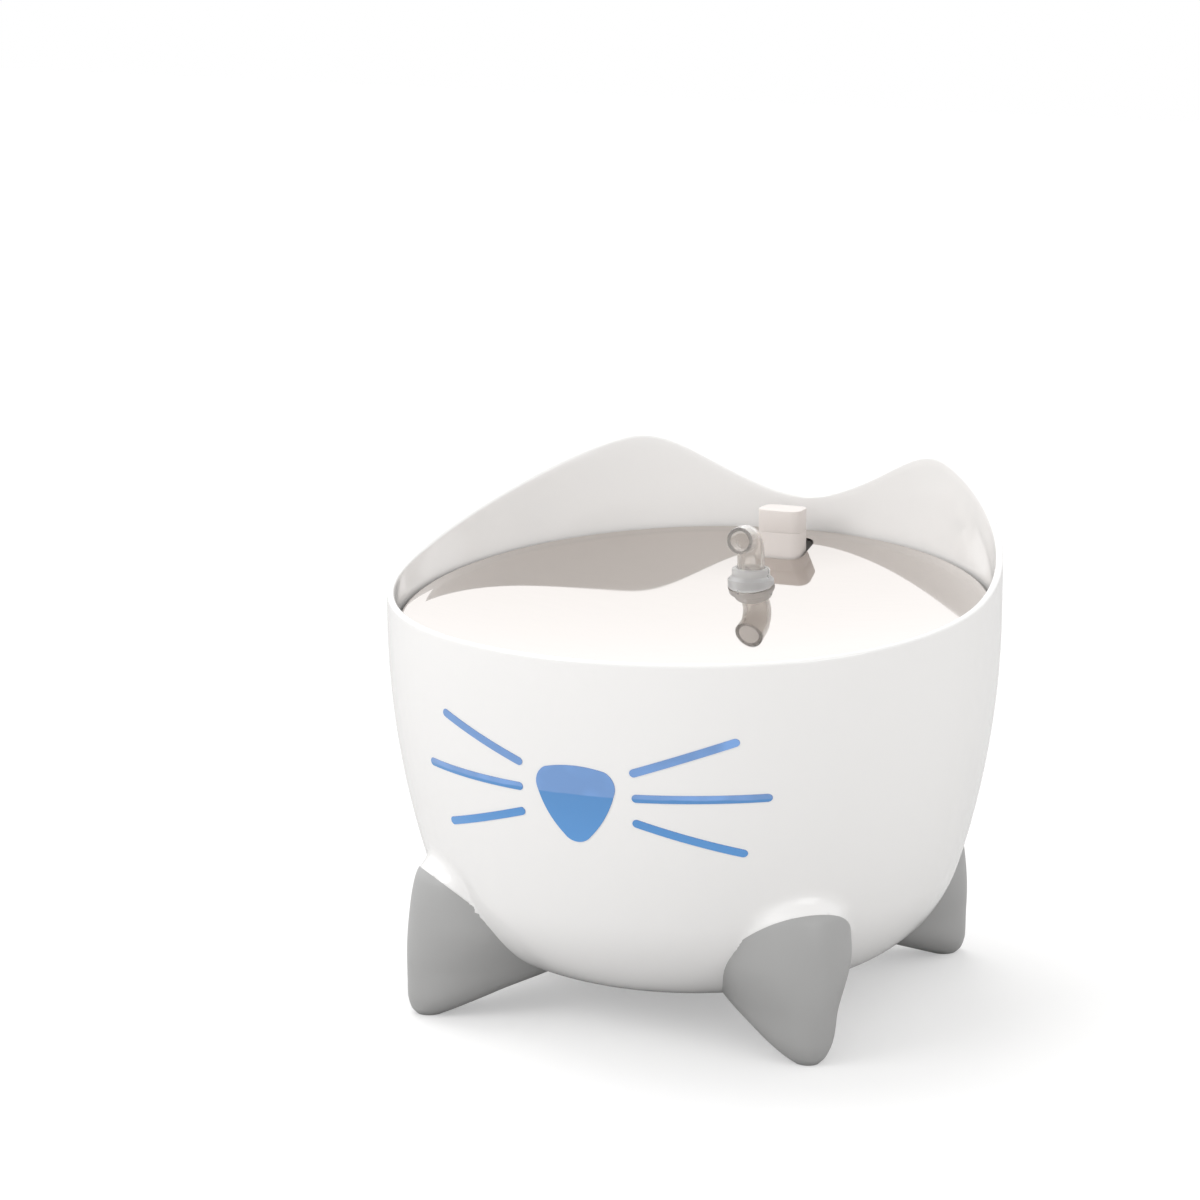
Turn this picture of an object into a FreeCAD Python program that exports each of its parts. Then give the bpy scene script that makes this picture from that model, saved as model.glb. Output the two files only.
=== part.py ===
# A pet water fountain: a footed bowl with an ear-shaped rim, a tilted steel drinking dish, a clear
# spout and a small submersible pump. Millimetres, +Z up, origin on the floor under the bowl's axis,
# the face of the bowl towards -Y.
import FreeCAD, Part
import math
import os
import re
import Sketcher
from FreeCAD import Placement, Rotation, Vector

doc = FreeCAD.newDocument("pet_water_fountain")
sheet = doc.addObject("Spreadsheet::Sheet", "sizes")

SIZES = [
    # bowl
    ("rim_radius", 118.0, "outer radius of the upright wall"),
    ("wall", 2.8, "thickness of the bowl's wall"),
    ("base_inset", 82.0, "edge of the flat bottom inside the bowl's radius"),
    ("base_level", 10.5, "underside of the bowl above the floor"),
    ("belly_radius", 94.0, "arc under the bowl"),
    ("knuckle_radius", 55.0, "arc where the bottom turns up"),
    ("side_radius", 330.0, "slow bow of the side"),
    ("side_top", 150.0, "height where the side stands upright"),
    ("blank_top", 206.0, "height of the bowl before its rim is cut"),
    # rim seen from the side: inset from the outer wall and height, front half then back half
    ("front_rim", 154.5, "rim height at the front"),
    ("front_over", 2.0, "how far the rim line starts in front of the wall"),
    ("brow_inset", 40.0, "second place along the rim"),
    ("brow_rim", 155.5, "rim height there"),
    ("cheek_inset", 78.0, "where the rim starts to climb"),
    ("cheek_rim", 158.2, "rim height there"),
    ("side_rim", 163.0, "rim height beside the axis"),
    ("flank_inset", 88.5, "between side and ear"),
    ("flank_rim", 169.9, "rim height there"),
    ("temple_inset", 59.0, "where the ear rises"),
    ("temple_rim", 180.0, "rim height there"),
    ("crest_inset", 27.0, "just in front of the ear tip"),
    ("crest_rim", 194.2, "rim height there"),
    ("ear_inset", 19.0, "ear tip"),
    ("ear_rim", 196.5, "rim height at the ear tip"),
    ("nape_inset", 4.5, "behind the ear tip"),
    ("nape_rim", 182.9, "rim height there"),
    ("notch_over", 1.5, "how far the rim line ends behind the wall"),
    ("notch_rim", 168.0, "height of its end"),
    # legs: level, inset from the bowl's radius, length towards the axis and half width, from the toe up
    ("toe_level", 0.0, "leg section 1"), ("toe_inset", 4.0, "outer end"),
    ("toe_length", 10.0, "along the leg"), ("toe_half", 4.5, "half width"),
    ("ball_level", 2.5, "leg section 2"), ("ball_inset", 1.8, "outer end"),
    ("ball_length", 19.7, "along the leg"), ("ball_half", 8.0, "half width"),
    ("sole_level", 8.0, "leg section 3"), ("sole_inset", 0.6, "outer end"),
    ("sole_length", 37.4, "along the leg"), ("sole_half", 13.0, "half width"),
    ("heel_level", 20.0, "leg section 4"), ("heel_inset", 0.5, "outer end"),
    ("heel_length", 72.5, "along the leg"), ("heel_half", 19.8, "half width"),
    ("shin_level", 38.0, "leg section 5"), ("shin_inset", 2.0, "outer end"),
    ("shin_length", 73.0, "along the leg"), ("shin_half", 26.5, "half width"),
    ("knee_level", 53.0, "leg section 6"), ("knee_inset", 4.8, "outer end"),
    ("knee_length", 67.2, "along the leg"), ("knee_half", 25.5, "half width"),
    ("hip_level", 68.0, "leg section 7"), ("hip_inset", 19.0, "outer end"),
    ("hip_length", 47.0, "along the leg"), ("hip_half", 19.0, "half width"),
    ("boot_inset", 6.0, "inset of the boot's highest point"),
    ("boot_level", 57.5, "height of the boot's highest point"),
    ("boot_slope", 40.0, "slope in degrees of the joint between boot and shoulder"),
    ("peg_radius", 6.0, "peg of the shoulder inside the boot"),
    ("peg_length", 17.0, "length of the peg"),
    ("peg_root", 20.0, "length of the peg inside the shoulder"),
    ("peg_inset", 22.0, "inset of the peg's root"),
    ("peg_gap", 0.15, "clearance round the peg"),
    # face
    ("whisker_width", 3.1, "width of a whisker"),
    ("upper_start_x", 22.8, "upper whisker, inner end"), ("upper_start_z", 113.2, "its height"),
    ("upper_end_x", 57.6, "upper whisker, outer end"), ("upper_end_z", 125.3, "its height"),
    ("middle_start_x", 23.2, "middle whisker, inner end"), ("middle_start_z", 103.4, "its height"),
    ("middle_end_x", 67.0, "middle whisker, outer end"), ("middle_end_z", 103.7, "its height"),
    ("lower_start_x", 22.9, "lower whisker, inner end"), ("lower_start_z", 93.6, "its height"),
    ("lower_end_x", 58.1, "lower whisker, outer end"), ("lower_end_z", 82.2, "its height"),
    ("nose_top", 115.2, "top of the nose"), ("nose_bottom", 84.8, "lowest point of the nose"),
    ("nose_half", 16.0, "half width of the nose"), ("nose_widest", 106.5, "height of its widest point"),
    ("nose_brow_in", 4.2, "inset of the brow's end"), ("nose_brow_drop", 2.4, "drop of the brow's end"),
    ("nose_flank_in", 0.9, "inset of the flank's start"), ("nose_flank_drop", 2.6,
                                                           "drop of the flank's start"),
    ("nose_tip_half", 5.2, "half width of the tip's arc"), ("nose_tip_rise", 2.3, "rise of the tip's arc"),
    ("nose_brow_radius", 46.0, "arc along the top"), ("nose_cheek_radius", 7.0, "arc at the upper corners"),
    ("nose_side_radius", 40.0, "arc of the flanks"), ("nose_tip_radius", 6.5, "arc at the lowest point"),
    ("face_over", 5.0, "how far the face's cutters run past the wall"),
    ("arc_ease", 0.0005, "keeps the arc of a round end under a half circle"),
    ("liner_wall", 1.6, "thickness of the clear liner"), ("liner_half", 74.0, "half width of the liner"),
    ("liner_bottom", 77.0, "lower edge of the liner"), ("liner_top", 130.0, "upper edge of the liner"),
    # dish and what carries it
    ("dish_inset", 4.0, "dish's edge inside the bowl's radius"),
    ("dish_level", 148.5, "height of the rim's plane on the axis"),
    ("dish_tilt", 5.3, "degrees, down to the front"), ("dish_sag", 10.0, "depth of the dish"),
    ("steel", 0.8, "sheet thickness"), ("bead_radius", 1.2, "rolled edge"),
    ("drain_reach", 74.0, "radius of the row of drain slots"),
    ("drain_length", 13.0, "length of a slot"), ("drain_width", 3.0, "width of a slot"),
    ("drain_count", 9.0, "number of slots"), ("drain_pitch", 6.5, "degrees between slots"),
    ("carrier_inset", 4.6, "carrier's edge inside the bowl's radius"),
    ("carrier_wall", 3.0, "its upright wall"),
    ("carrier_depth", 17.0, "underside of the carrier below the dish's plane"),
    ("carrier_floor", 2.4, "thickness of the carrier's floor"),
    ("carrier_gap", 0.3, "lift gap over the ribs"),
    ("rib_width", 3.0, "rib under the carrier"), ("rib_reach", 10.5, "reach of a rib into the bowl"),
    ("rib_drop", 26.0, "height of a rib"), ("rib_toe", 4.0, "height of a rib's inner end"),
    # filter
    ("filter_front", 45.0, "distance of the filter's axis in front of the bowl's axis"),
    ("tray_radius", 45.0, "outer radius of the tray"), ("tray_wall", 2.0, "wall of the tray"),
    ("tray_depth", 25.0, "depth of the tray"), ("tray_lip", 4.0, "reach of the tray's lip"),
    ("tray_lip_depth", 2.0, "thickness of the lip"), ("tray_seat", 1.0, "reach of the carrier over the tray"),
    ("tray_floor", 2.0, "floor of the tray"), ("grate_count", 18.0, "slots in the tray's floor"),
    ("grate_inner", 10.0, "inner end of a slot"), ("grate_margin", 5.0,
                                                   "outer end of a slot inside the wall"),
    ("grate_narrow", 1.5, "half width at the inner end"), ("grate_wide", 2.6, "half width at the outer end"),
    ("frame_wall", 1.8, "wall of the cartridge"), ("frame_depth", 13.5, "height of the cartridge"),
    ("filter_gap", 0.4, "play of the cartridge in the tray"), ("filter_play", 0.2,
                                                               "play of the fill in the cartridge"),
    ("seat_play", 0.1, "play of the cartridge over the tray's floor"),
    ("bar_half", 1.2, "half width of a cartridge bar"), ("bar_depth", 1.5, "height of a cartridge bar"),
    ("bar_bite", 0.6, "end of a bar inside the cartridge's wall"),
    ("carbon_depth", 9.0, "carbon layer"), ("carbon_edge", 1.0, "bevel of its edge"),
    ("foam_depth", 5.5, "foam layer"), ("foam_edge", 1.5, "bevel of its upper edge"),
    # spout and riser tube
    ("spout_lead", 34.5, "spout in front of the post"), ("spout_radius", 5.4, "outside of the spout"),
    ("spout_bore", 3.9, "bore of the spout"), ("spout_turn", 7.5, "bend radius of the elbow"),
    ("spout_height", 19.8, "mouth's axis above the collar's seat"),
    ("spout_reach", 5.0, "straight part of the mouth"),
    ("collar_radius", 7.6, "ring of the collar"), ("collar_height", 6.8, "top of the collar above its seat"),
    ("collar_flange", 9.2, "flange of the collar"), ("flange_height", 2.6,
                                                     "edge of the flange above its seat"),
    ("flange_rise", 1.0, "slope on the flange"), ("collar_edge", 0.8, "bevel at the collar's top"),
    ("collar_depth", 7.5, "foot of the stem below the seat"), ("collar_stem", 6.3, "stem through the dish"),
    ("collar_lift", 0.3, "clearance of the collar over the dish"),
    ("collar_step", 1.0, "step that the spout stands on, below the seat"),
    ("step_depth", 1.2, "thickness of the step"),
    ("turn_gap", 0.06, "running clearance of the spout"), ("stand_gap", 0.05, "clearance under the spout"),
    ("tube_radius", 4.5, "riser tube"), ("tube_bore", 3.2, "bore of the riser tube"),
    ("tube_gap", 0.35, "clearance of tube and collar"), ("tube_drop", 2.5,
                                                         "tube's top below the collar's seat"),
    ("stem_gap", 0.5, "clearance of the collar in the dish and the carrier"),
    # riser post for the lead
    ("post_inset", 24.0, "post's axis inside the bowl's radius"), ("post_width", 18.0, "across the post"),
    ("post_depth", 13.0, "front to back"), ("post_round", 4.0, "corners of the post"),
    ("post_wall", 1.8, "its wall"),
    ("post_foot", 44.0, "level from which the post is cut to the bowl"),
    ("post_height", 23.0, "top of the post above the dish's plane"), ("cap_depth", 9.0, "height of the cap"),
    ("cap_plug", 3.0, "plug of the cap in the post"), ("cap_play", 0.1, "play of the plug"),
    ("post_gap", 1.2, "clearance of the dish round the post"),
    ("notch_length", 20.5, "cut-out behind the post"),
    ("gland_radius", 3.4, "sleeve of the gland"), ("gland_length", 4.5, "sleeve behind the post"),
    ("gland_drop", 15.5, "gland below the post's top"), ("gland_flange", 0.8,
                                                         "flange and groove of the gland"),
    ("gland_lip", 1.2, "thickness of its flange"),
    ("door_half", 4.5, "half width of the lead's door"), ("door_bottom", 66.0, "lower edge"),
    ("door_top", 88.0, "start of its arch"),
    # pump
    ("deck_height", 8.1, "pump deck above the bowl's underside"),
    ("deck_side", 2.0, "deck past the pump's sides"),
    ("deck_end", 4.0, "deck past the pump's ends"), ("cup_height", 4.6, "suction cup"),
    ("cup_radius", 6.0, "its edge"),
    ("cup_neck", 3.3, "its neck"), ("cup_lip", 1.2, "hollow under the cup"),
    ("cup_inset", 8.5, "cup inside the pump's edges"),
    ("pump_width", 42.0, "across the housing"), ("pump_length", 50.0, "front to back"),
    ("outlet_inset", 6.5, "outlet's axis in front of the pump's back"),
    ("pump_height", 39.0, "housing without outlet"),
    ("pump_wall", 2.2, "wall of the housing"), ("pump_round", 4.0, "its corners"),
    ("rotor_rise", 14.8, "rotor's axis above the housing's foot"),
    ("stator_depth", 34.0, "depth of the stator's chamber"), ("potting_depth", 5.0,
                                                              "potting over the stator"),
    ("potting_set", 0.6, "potting behind the housing's face"),
    ("chamber_radius", 15.5, "impeller's chamber"), ("chamber_depth", 13.0, "its depth"),
    ("well_radius", 8.4, "magnet's well"), ("well_wall", 1.3, "its wall"), ("well_depth", 31.0, "its depth"),
    ("well_end", 2.0, "closed end of the well"), ("well_clear", 1.5, "potting over the well's end"),
    ("magnet_radius", 7.6, "magnet"), ("magnet_length", 25.0, "its length"),
    ("magnet_edge", 0.5, "its bevel"),
    ("magnet_play", 0.6, "bore of the magnet round the shaft"),
    ("shaft_radius", 1.2, "shaft"), ("shaft_length", 44.9, "its length"), ("shaft_edge", 0.3, "its bevel"),
    ("shaft_play", 0.05, "running clearance on the shaft"),
    ("bush_radius", 3.2, "bush of the shaft"), ("bush_length", 4.0, "its length"),
    ("bush_wall", 1.4, "cover round the bush"),
    ("impeller_radius", 13.6, "impeller"), ("impeller_disc", 1.4, "its disc"),
    ("impeller_run", 1.2, "disc clear of the chamber"),
    ("vane_height", 7.0, "height of a vane"), ("vane_width", 1.3, "its thickness"),
    ("vane_sweep", 4.0, "how far a vane trails"),
    ("vane_trim", 0.4, "vane inside the disc's edge"), ("vane_count", 6.0, "number of vanes"),
    ("hub_radius", 4.2, "hub of the impeller"), ("hub_taper", 1.2, "taper of the hub"),
    ("hub_root", 1.0, "root of a vane inside the hub"),
    ("cover_depth", 3.2, "intake cover"), ("cover_margin", 0.5, "cover inside the housing's sides"),
    ("cover_over", 1.0, "cover above the housing"), ("cover_slots", 10.0, "slots of the intake grille"),
    ("slot_inner", 5.6, "inner end of a slot"), ("slot_outer", 12.6, "outer end"),
    ("slot_width", 1.9, "width"),
    ("outlet_radius", 6.0, "outlet of the pump"), ("outlet_height", 8.0, "its height"),
    ("sleeve_wall", 1.6, "sleeve from outlet to tube"), ("sleeve_foot", 1.0,
                                                         "sleeve's foot above the housing"),
    ("sleeve_taper", 2.0, "cone of the sleeve"), ("sleeve_grip", 7.0, "sleeve's grip on the tube"),
    ("tube_lift", 0.1, "tube above the outlet"),
    ("core_leg", 4.5, "leg of the stator's core"), ("core_depth", 16.0, "stack of its laminations"),
    ("core_gap", 0.6, "core clear of the well"), ("core_rise", 6.3, "core's foot above the housing's foot"),
    ("core_height", 25.9, "height of the core"), ("core_set", 9.0, "core behind the potting"),
    ("coil_build", 2.6, "thickness of the winding"), ("coil_half", 8.6, "half length of the winding"),
    ("coil_play", 0.15, "winding clear of the core"),
    ("lead_radius", 1.9, "lead inside the fountain"), ("lead_set", 10.0, "lead behind the pump's front"),
    ("lead_side", 13.5, "lead to the right of the pump's middle"),
    ("lead_play", 0.05, "bore of the gland round the lead"),
    ("lead_rise", 11.0, "straight start of the lead"), ("lead_lean", 2.6,
                                                        "lead in front of the post's middle"),
]
for row, (alias, number, meaning) in enumerate(SIZES, start=1):
    sheet.set("A%d" % row, meaning)
    sheet.set("B%d" % row, str(number))
    sheet.setAlias("B%d" % row, alias)
doc.recompute()
ALIASES = {alias for alias, number, meaning in SIZES}


def bound(text):
    """Put the sheet's name before every alias in an expression."""
    return re.sub(r"[a-z][a-z_]*", lambda m: "sizes." + m.group() if m.group() in ALIASES else m.group(),
                  text)


def val(text):
    """Number that an expression gives with the present sizes."""
    result = sheet.evalExpression(bound(text))
    return float(getattr(result, "Value", result))


def bind(thing, prop, text):
    thing.setExpression(prop, bound(text))


def add(kind, name, label=None):
    thing = doc.addObject(kind, name)
    thing.Label = label or name
    return thing


def sketch(body, plane, level=None, turn=0.0):
    """Empty sketch on one of the body's own planes, moved along the plane's normal by an expression."""
    sk = body.newObject("Sketcher::SketchObject", body.Name + "_sketch")
    datum = [f for f in body.Origin.OriginFeatures if f.Role == plane][0]
    sk.AttachmentSupport = [(datum, "")]
    sk.MapMode = "FlatFace"
    if turn:
        sk.AttachmentOffset = Placement(Vector(), Rotation(Vector(0, 0, 1), turn))
    if level:
        sk.setExpression("AttachmentOffset.Base.z", bound(level))
    return sk


def pin_down(sk, geo, pos, x, y):
    """Hold one point of a sketch at a place given by two expressions."""
    for kind, axis, text in (("DistanceX", -2, x), ("DistanceY", -1, y)):
        if text == "0":
            sk.addConstraint(Sketcher.Constraint("PointOnObject", geo, pos, axis))
        else:
            number = sk.addConstraint(Sketcher.Constraint(kind, -1, 1, geo, pos, val(text)))
            sk.setExpression("Constraints[%d]" % number, bound(text))


def set_radius(sk, geo, text):
    number = sk.addConstraint(Sketcher.Constraint("Radius", geo, val(text)))
    sk.setExpression("Constraints[%d]" % number, bound(text))


def arc_between(a, b, radius, side):
    """Short arc of a radius from a to b, bulging to the left of travel when side is 1."""
    middle = (a + b) * 0.5
    chord = b - a
    left = Vector(-chord.y, chord.x, 0).normalize()
    rise = math.sqrt(max(radius ** 2 - (chord.Length / 2) ** 2, 0.0))
    centre = middle - left * rise * side
    top = centre + left * radius * side
    return Part.Arc(a, top, b)


def outline(sk, corners, arcs=None):
    """Closed outline through corners given as expressions; arcs maps a side to (radius, side)."""
    arcs = arcs or {}
    points = [Vector(val(x), val(y), 0) for x, y in corners]
    count = len(points)
    starts = []
    ends = []
    for i in range(count):
        a, b = points[i], points[(i + 1) % count]
        if i in arcs:
            radius, side = arcs[i]
            geo = sk.addGeometry(arc_between(a, b, val(radius), side), False)
            forward = (sk.getPoint(geo, 1) - a).Length < (sk.getPoint(geo, 2) - a).Length
        else:
            geo = sk.addGeometry(Part.LineSegment(a, b), False)
            forward = True
        starts.append((geo, 1 if forward else 2))
        ends.append((geo, 2 if forward else 1))
    for i in range(count):
        sk.addConstraint(Sketcher.Constraint("Coincident", *ends[i - 1], *starts[i]))
        pin_down(sk, starts[i][0], starts[i][1], *corners[i])
    for i, (radius, side) in arcs.items():
        set_radius(sk, starts[i][0], radius)


def ring(sk, radius, x="0", y="0"):
    """Circle of a radius about a place, all given as expressions."""
    geo = sk.addGeometry(Part.Circle(Vector(val(x), val(y), 0), Vector(0, 0, 1), val(radius)), False)
    if x == "0" and y == "0":
        sk.addConstraint(Sketcher.Constraint("Coincident", geo, 3, -1, 1))
    else:
        pin_down(sk, geo, 3, x, y)
    set_radius(sk, geo, radius)


def feature(body, kind, sk, **expressions):
    """Pad, pocket, revolution or groove of a sketch, its sizes bound to the sheet."""
    f = body.newObject("PartDesign::" + kind, body.Name + "_" + kind.lower())
    f.Profile = sk
    if kind in ("Revolution", "Groove"):
        f.ReferenceAxis = (sk, ["V_Axis"])
        f.Angle = 360
    for prop, text in expressions.items():
        if prop in ("SideType", "Type", "Reversed"):
            setattr(f, prop, text)
        else:
            bind(f, prop, text)
    return f


def polar(body, original, axis_role, count, angle="360"):
    """Copies of a feature round one of the body's own axes."""
    f = body.newObject("PartDesign::PolarPattern", body.Name + "_pattern")
    f.Originals = [original]
    f.Axis = ([o for o in body.Origin.OriginFeatures if o.Role == axis_role][0], [""])
    bind(f, "Angle", angle)
    bind(f, "Occurrences", count)
    body.Tip = f
    return f


def rounded_box(body, width, depth, middle, level, height, corner):
    """Upright block with rounded corners, centred across X and on a Y given by an expression."""
    sk = sketch(body, "XY_Plane", level)
    x, far, near = "(%s) / 2" % width, "(%s) + (%s) / 2" % (middle, depth), "(%s) - (%s) / 2" % (middle, depth)
    c = corner
    outline(sk, [("-%s + %s" % (x, c), near), ("%s - %s" % (x, c), near), (x, "%s + %s" % (near, c)),
                 (x, "%s - %s" % (far, c)), ("%s - %s" % (x, c), far), ("-%s + %s" % (x, c), far),
                 ("-%s" % x, "%s - %s" % (far, c)), ("-%s" % x, "%s + %s" % (near, c))],
            {1: (c, -1), 3: (c, -1), 5: (c, -1), 7: (c, -1)})
    return sk, feature(body, "Pad", sk, Length=height)


def boolean(kind, name, *parts, label=None):
    """Cut, common or fusion of document objects."""
    f = add("Part::" + kind, name, label)
    if kind in ("MultiFuse", "MultiCommon"):
        f.Shapes = list(parts)
    elif kind == "Compound":
        f.Links = list(parts)
    else:
        f.Base, f.Tool = parts
    return f


# Places that follow from the sizes.
BASE_R = "(rim_radius - base_inset)"
DISH_R = "(rim_radius - dish_inset)"
DISH_BALL = "((%s^2 + dish_sag^2) / (2 * dish_sag))" % DISH_R
CARRIER_R = "(rim_radius - carrier_inset)"
CARRIER_LOW = "(dish_level - carrier_depth)"
BOOT_R = "(rim_radius - boot_inset)"
POST_BACK = "(rim_radius - post_inset)"
POST_TOP = "(dish_level + post_height)"
GLAND_LEVEL = "(%s - gland_drop)" % POST_TOP
SPOUT_BACK = "(%s - spout_lead)" % POST_BACK
PUMP_BACK = "(%s + outlet_inset)" % SPOUT_BACK
PUMP_FRONT = "(%s - pump_length)" % PUMP_BACK
DECK_TOP = "(base_level + deck_height)"
FOOT = "(%s + cup_height)" % DECK_TOP
PUMP_TOP = "(%s + pump_height)" % FOOT
ROTOR_LEVEL = "(%s + rotor_rise)" % FOOT
# height and slope of the dish under the collar, which stands clear of it by its lift
SEAT_SLOPE = "(tan(dish_tilt) + %s / %s)" % (SPOUT_BACK, DISH_BALL)
COLLAR_SEAT = "(dish_level + {0} * tan(dish_tilt) - (dish_sag - {0}^2 / (2 * {1})) / cos(dish_tilt) + collar_lift)".format(
    SPOUT_BACK, DISH_BALL)


# Bowl: the same three arcs, set in by the wall, give the outside, the inside and the liner's inside.
def bowl_solid(name, inset):
    body = add("PartDesign::Body", name)
    sk = sketch(body, "XZ_Plane")
    base, low, side, top = val(BASE_R), val("base_level"), val("rim_radius - side_radius"), val("side_top")
    r_belly, r_knuckle, r_side = val("belly_radius - " + inset), val("knuckle_radius - " + inset), val(
        "side_radius - " + inset)
    belly = Vector(base, low + val("belly_radius"), 0)
    flank = Vector(side, top, 0)
    reach_belly, reach_side = r_belly - r_knuckle, r_side - r_knuckle
    apart = flank - belly
    along = (reach_belly ** 2 - reach_side ** 2 + apart.Length ** 2) / (2 * apart.Length)
    across = math.sqrt(reach_belly ** 2 - along ** 2)
    unit = Vector(apart).normalize()
    knuckle = belly + unit * along + Vector(-unit.y, unit.x, 0) * across
    if knuckle.x < belly.x:
        knuckle = belly + unit * along - Vector(-unit.y, unit.x, 0) * across
    turn_low = belly + (knuckle - belly).normalize() * r_belly
    turn_high = flank + (knuckle - flank).normalize() * r_side
    bottom = low + val(inset)
    edge = Vector(side + r_side, top, 0)
    start = Vector(base, bottom, 0)
    mid_belly = belly + ((start - belly).normalize() + (turn_low - belly).normalize()).normalize() * r_belly
    mid_knuckle = knuckle + ((turn_low - knuckle).normalize() + (turn_high - knuckle).normalize()).normalize() * r_knuckle
    mid_side = flank + ((turn_high - flank).normalize() + (edge - flank).normalize()).normalize() * r_side
    crown = Vector(edge.x, val("blank_top"), 0)
    lines = [Part.LineSegment(Vector(0, bottom, 0), start), Part.Arc(start, mid_belly, turn_low),
             Part.Arc(turn_low, mid_knuckle, turn_high), Part.Arc(turn_high, mid_side, edge),
             Part.LineSegment(edge, crown), Part.LineSegment(crown, Vector(0, crown.y, 0)),
             Part.LineSegment(Vector(0, crown.y, 0), Vector(0, bottom, 0))]
    sk.addGeometry(lines, False)
    joins = [(0, 2, 1, 1), (1, 2, 2, 1), (2, 2, 3, 1), (3, 2, 4, 1)]
    for a, pa, b, pb in joins:
        sk.addConstraint(Sketcher.Constraint("Tangent", a, pa, b, pb))
    for a, pa, b, pb in [(4, 2, 5, 1), (5, 2, 6, 1), (6, 2, 0, 1)]:
        sk.addConstraint(Sketcher.Constraint("Coincident", a, pa, b, pb))
    pin_down(sk, 0, 1, "0", "base_level + " + inset)
    pin_down(sk, 0, 2, BASE_R, "base_level + " + inset)
    sk.addConstraint(Sketcher.Constraint("PointOnObject", 5, 2, -2))
    sk.addConstraint(Sketcher.Constraint("Horizontal", 5))
    pin_down(sk, 4, 1, "rim_radius - " + inset, "side_top")
    sk.addConstraint(Sketcher.Constraint("Vertical", 4))
    height = sk.addConstraint(Sketcher.Constraint("DistanceY", -1, 1, 4, 2, crown.y))
    sk.setExpression("Constraints[%d]" % height, bound("blank_top"))
    for geo, text in ((1, "belly_radius"), (2, "knuckle_radius"), (3, "side_radius")):
        set_radius(sk, geo, "%s - %s" % (text, inset))
    feature(body, "Revolution", sk)
    return body


bowl_outside = bowl_solid("bowl_outside", "0 * wall")
bowl_inside = bowl_solid("bowl_inside", "wall")
liner_inside = bowl_solid("liner_inside", "(wall + liner_wall)")

# One leg, built towards +X: a loft through upright ellipses, cut into boot and shoulder by a sloping plane.
LEG_SECTIONS = ("toe", "ball", "sole", "heel", "shin", "knee", "hip")
LEG_TURNS = {"foot_front_left": -135, "foot_front_right": -45, "foot_rear_right": 45, "foot_rear_left": 135}
ellipses = []
for part_name in LEG_SECTIONS:
    ellipse = add("Part::Ellipse", part_name + "_section")
    ellipse.Placement.Rotation = Rotation(Vector(0, 0, 1), 180)
    bind(ellipse, "MajorRadius", "%s_length / 2" % part_name)
    bind(ellipse, "MinorRadius", part_name + "_half")
    bind(ellipse, "Placement.Base.x", "rim_radius - {0}_inset - {0}_length / 2".format(part_name))
    bind(ellipse, "Placement.Base.z", part_name + "_level")
    ellipses.append(ellipse)
leg = add("Part::Loft", "leg_loft")
leg.Sections = ellipses
leg.Solid = True
leg_above = add("Part::Box", "leg_above")
for prop, text in (("Length", "2 * rim_radius"), ("Width", "rim_radius"), ("Height", "rim_radius")):
    bind(leg_above, prop, text)
bind(leg_above, "Placement.Base.x", BOOT_R + " - 1.5 * rim_radius * cos(boot_slope)")
bind(leg_above, "Placement.Base.y", "-rim_radius / 2")
bind(leg_above, "Placement.Base.z", "boot_level - 1.5 * rim_radius * sin(boot_slope)")
leg_above.Placement.Rotation = Rotation(Vector(0, 1, 0), -val("boot_slope"))
boot_blank = boolean("Cut", "boot_blank", leg, leg_above)
boot_trim = boolean("Cut", "boot_trim", boot_blank, bowl_outside)
shoulder = boolean("Common", "shoulder_blank", leg, leg_above)


def peg(name, extra):
    pin = add("Part::Cylinder", name)
    bind(pin, "Radius", "peg_radius + " + extra)
    bind(pin, "Height", "peg_length + peg_root + " + extra)
    bind(pin, "Placement.Base.x", "rim_radius - peg_inset - peg_root * sin(boot_slope)")
    bind(pin, "Placement.Base.z",
         "boot_level - (peg_inset - boot_inset) * tan(boot_slope) + peg_root * cos(boot_slope)")
    pin.Placement.Rotation = Rotation(Vector(0, 1, 0), 180 - val("boot_slope"))
    return pin


shoulder_peg = boolean("MultiFuse", "shoulder_with_peg", shoulder, peg("shoulder_peg", "0 * peg_gap"))
boot_hole = peg("boot_hole", "peg_gap")
for foot_name, turn in LEG_TURNS.items():
    foot = boolean("Cut", foot_name, boot_trim, boot_hole)
    foot.Placement = Placement(Vector(), Rotation(Vector(0, 0, 1), turn))
shoulders = []
for foot_name, turn in LEG_TURNS.items():
    copy = boolean("Compound", "shoulder_" + foot_name, shoulder_peg)
    copy.Placement = Placement(Vector(), Rotation(Vector(0, 0, 1), turn))
    shoulders.append(copy)

# Pump deck and the four ribs under the carrier are moulded with the bowl.
deck = add("PartDesign::Body", "pump_deck")
rounded_box(deck, "pump_width + 2 * deck_side", "pump_length + 2 * deck_end",
            "(%s + %s) / 2" % (PUMP_FRONT, PUMP_BACK),
            "base_level", "deck_height", "pump_round")
ribs = add("PartDesign::Body", "carrier_ribs")
rib_sketch = sketch(ribs, "XZ_Plane")
RIB_TOP, RIB_IN = CARRIER_LOW + " - carrier_gap", "rim_radius - rib_reach"
outline(rib_sketch, [(RIB_IN, RIB_TOP), (RIB_IN, RIB_TOP + " - rib_toe"),
                     ("rim_radius", RIB_TOP + " - rib_drop"),
                     ("rim_radius", RIB_TOP)])
rib_pad = feature(ribs, "Pad", rib_sketch, Length="rib_width", SideType="Symmetric")
polar(ribs, rib_pad, "Z_Axis", "4")
ribs.Placement = Placement(Vector(), Rotation(Vector(0, 0, 1), 45))
moulded = boolean("MultiFuse", "moulded_inside", deck, ribs)
moulded_trim = boolean("Common", "moulded_trim", moulded, bowl_outside)

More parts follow.
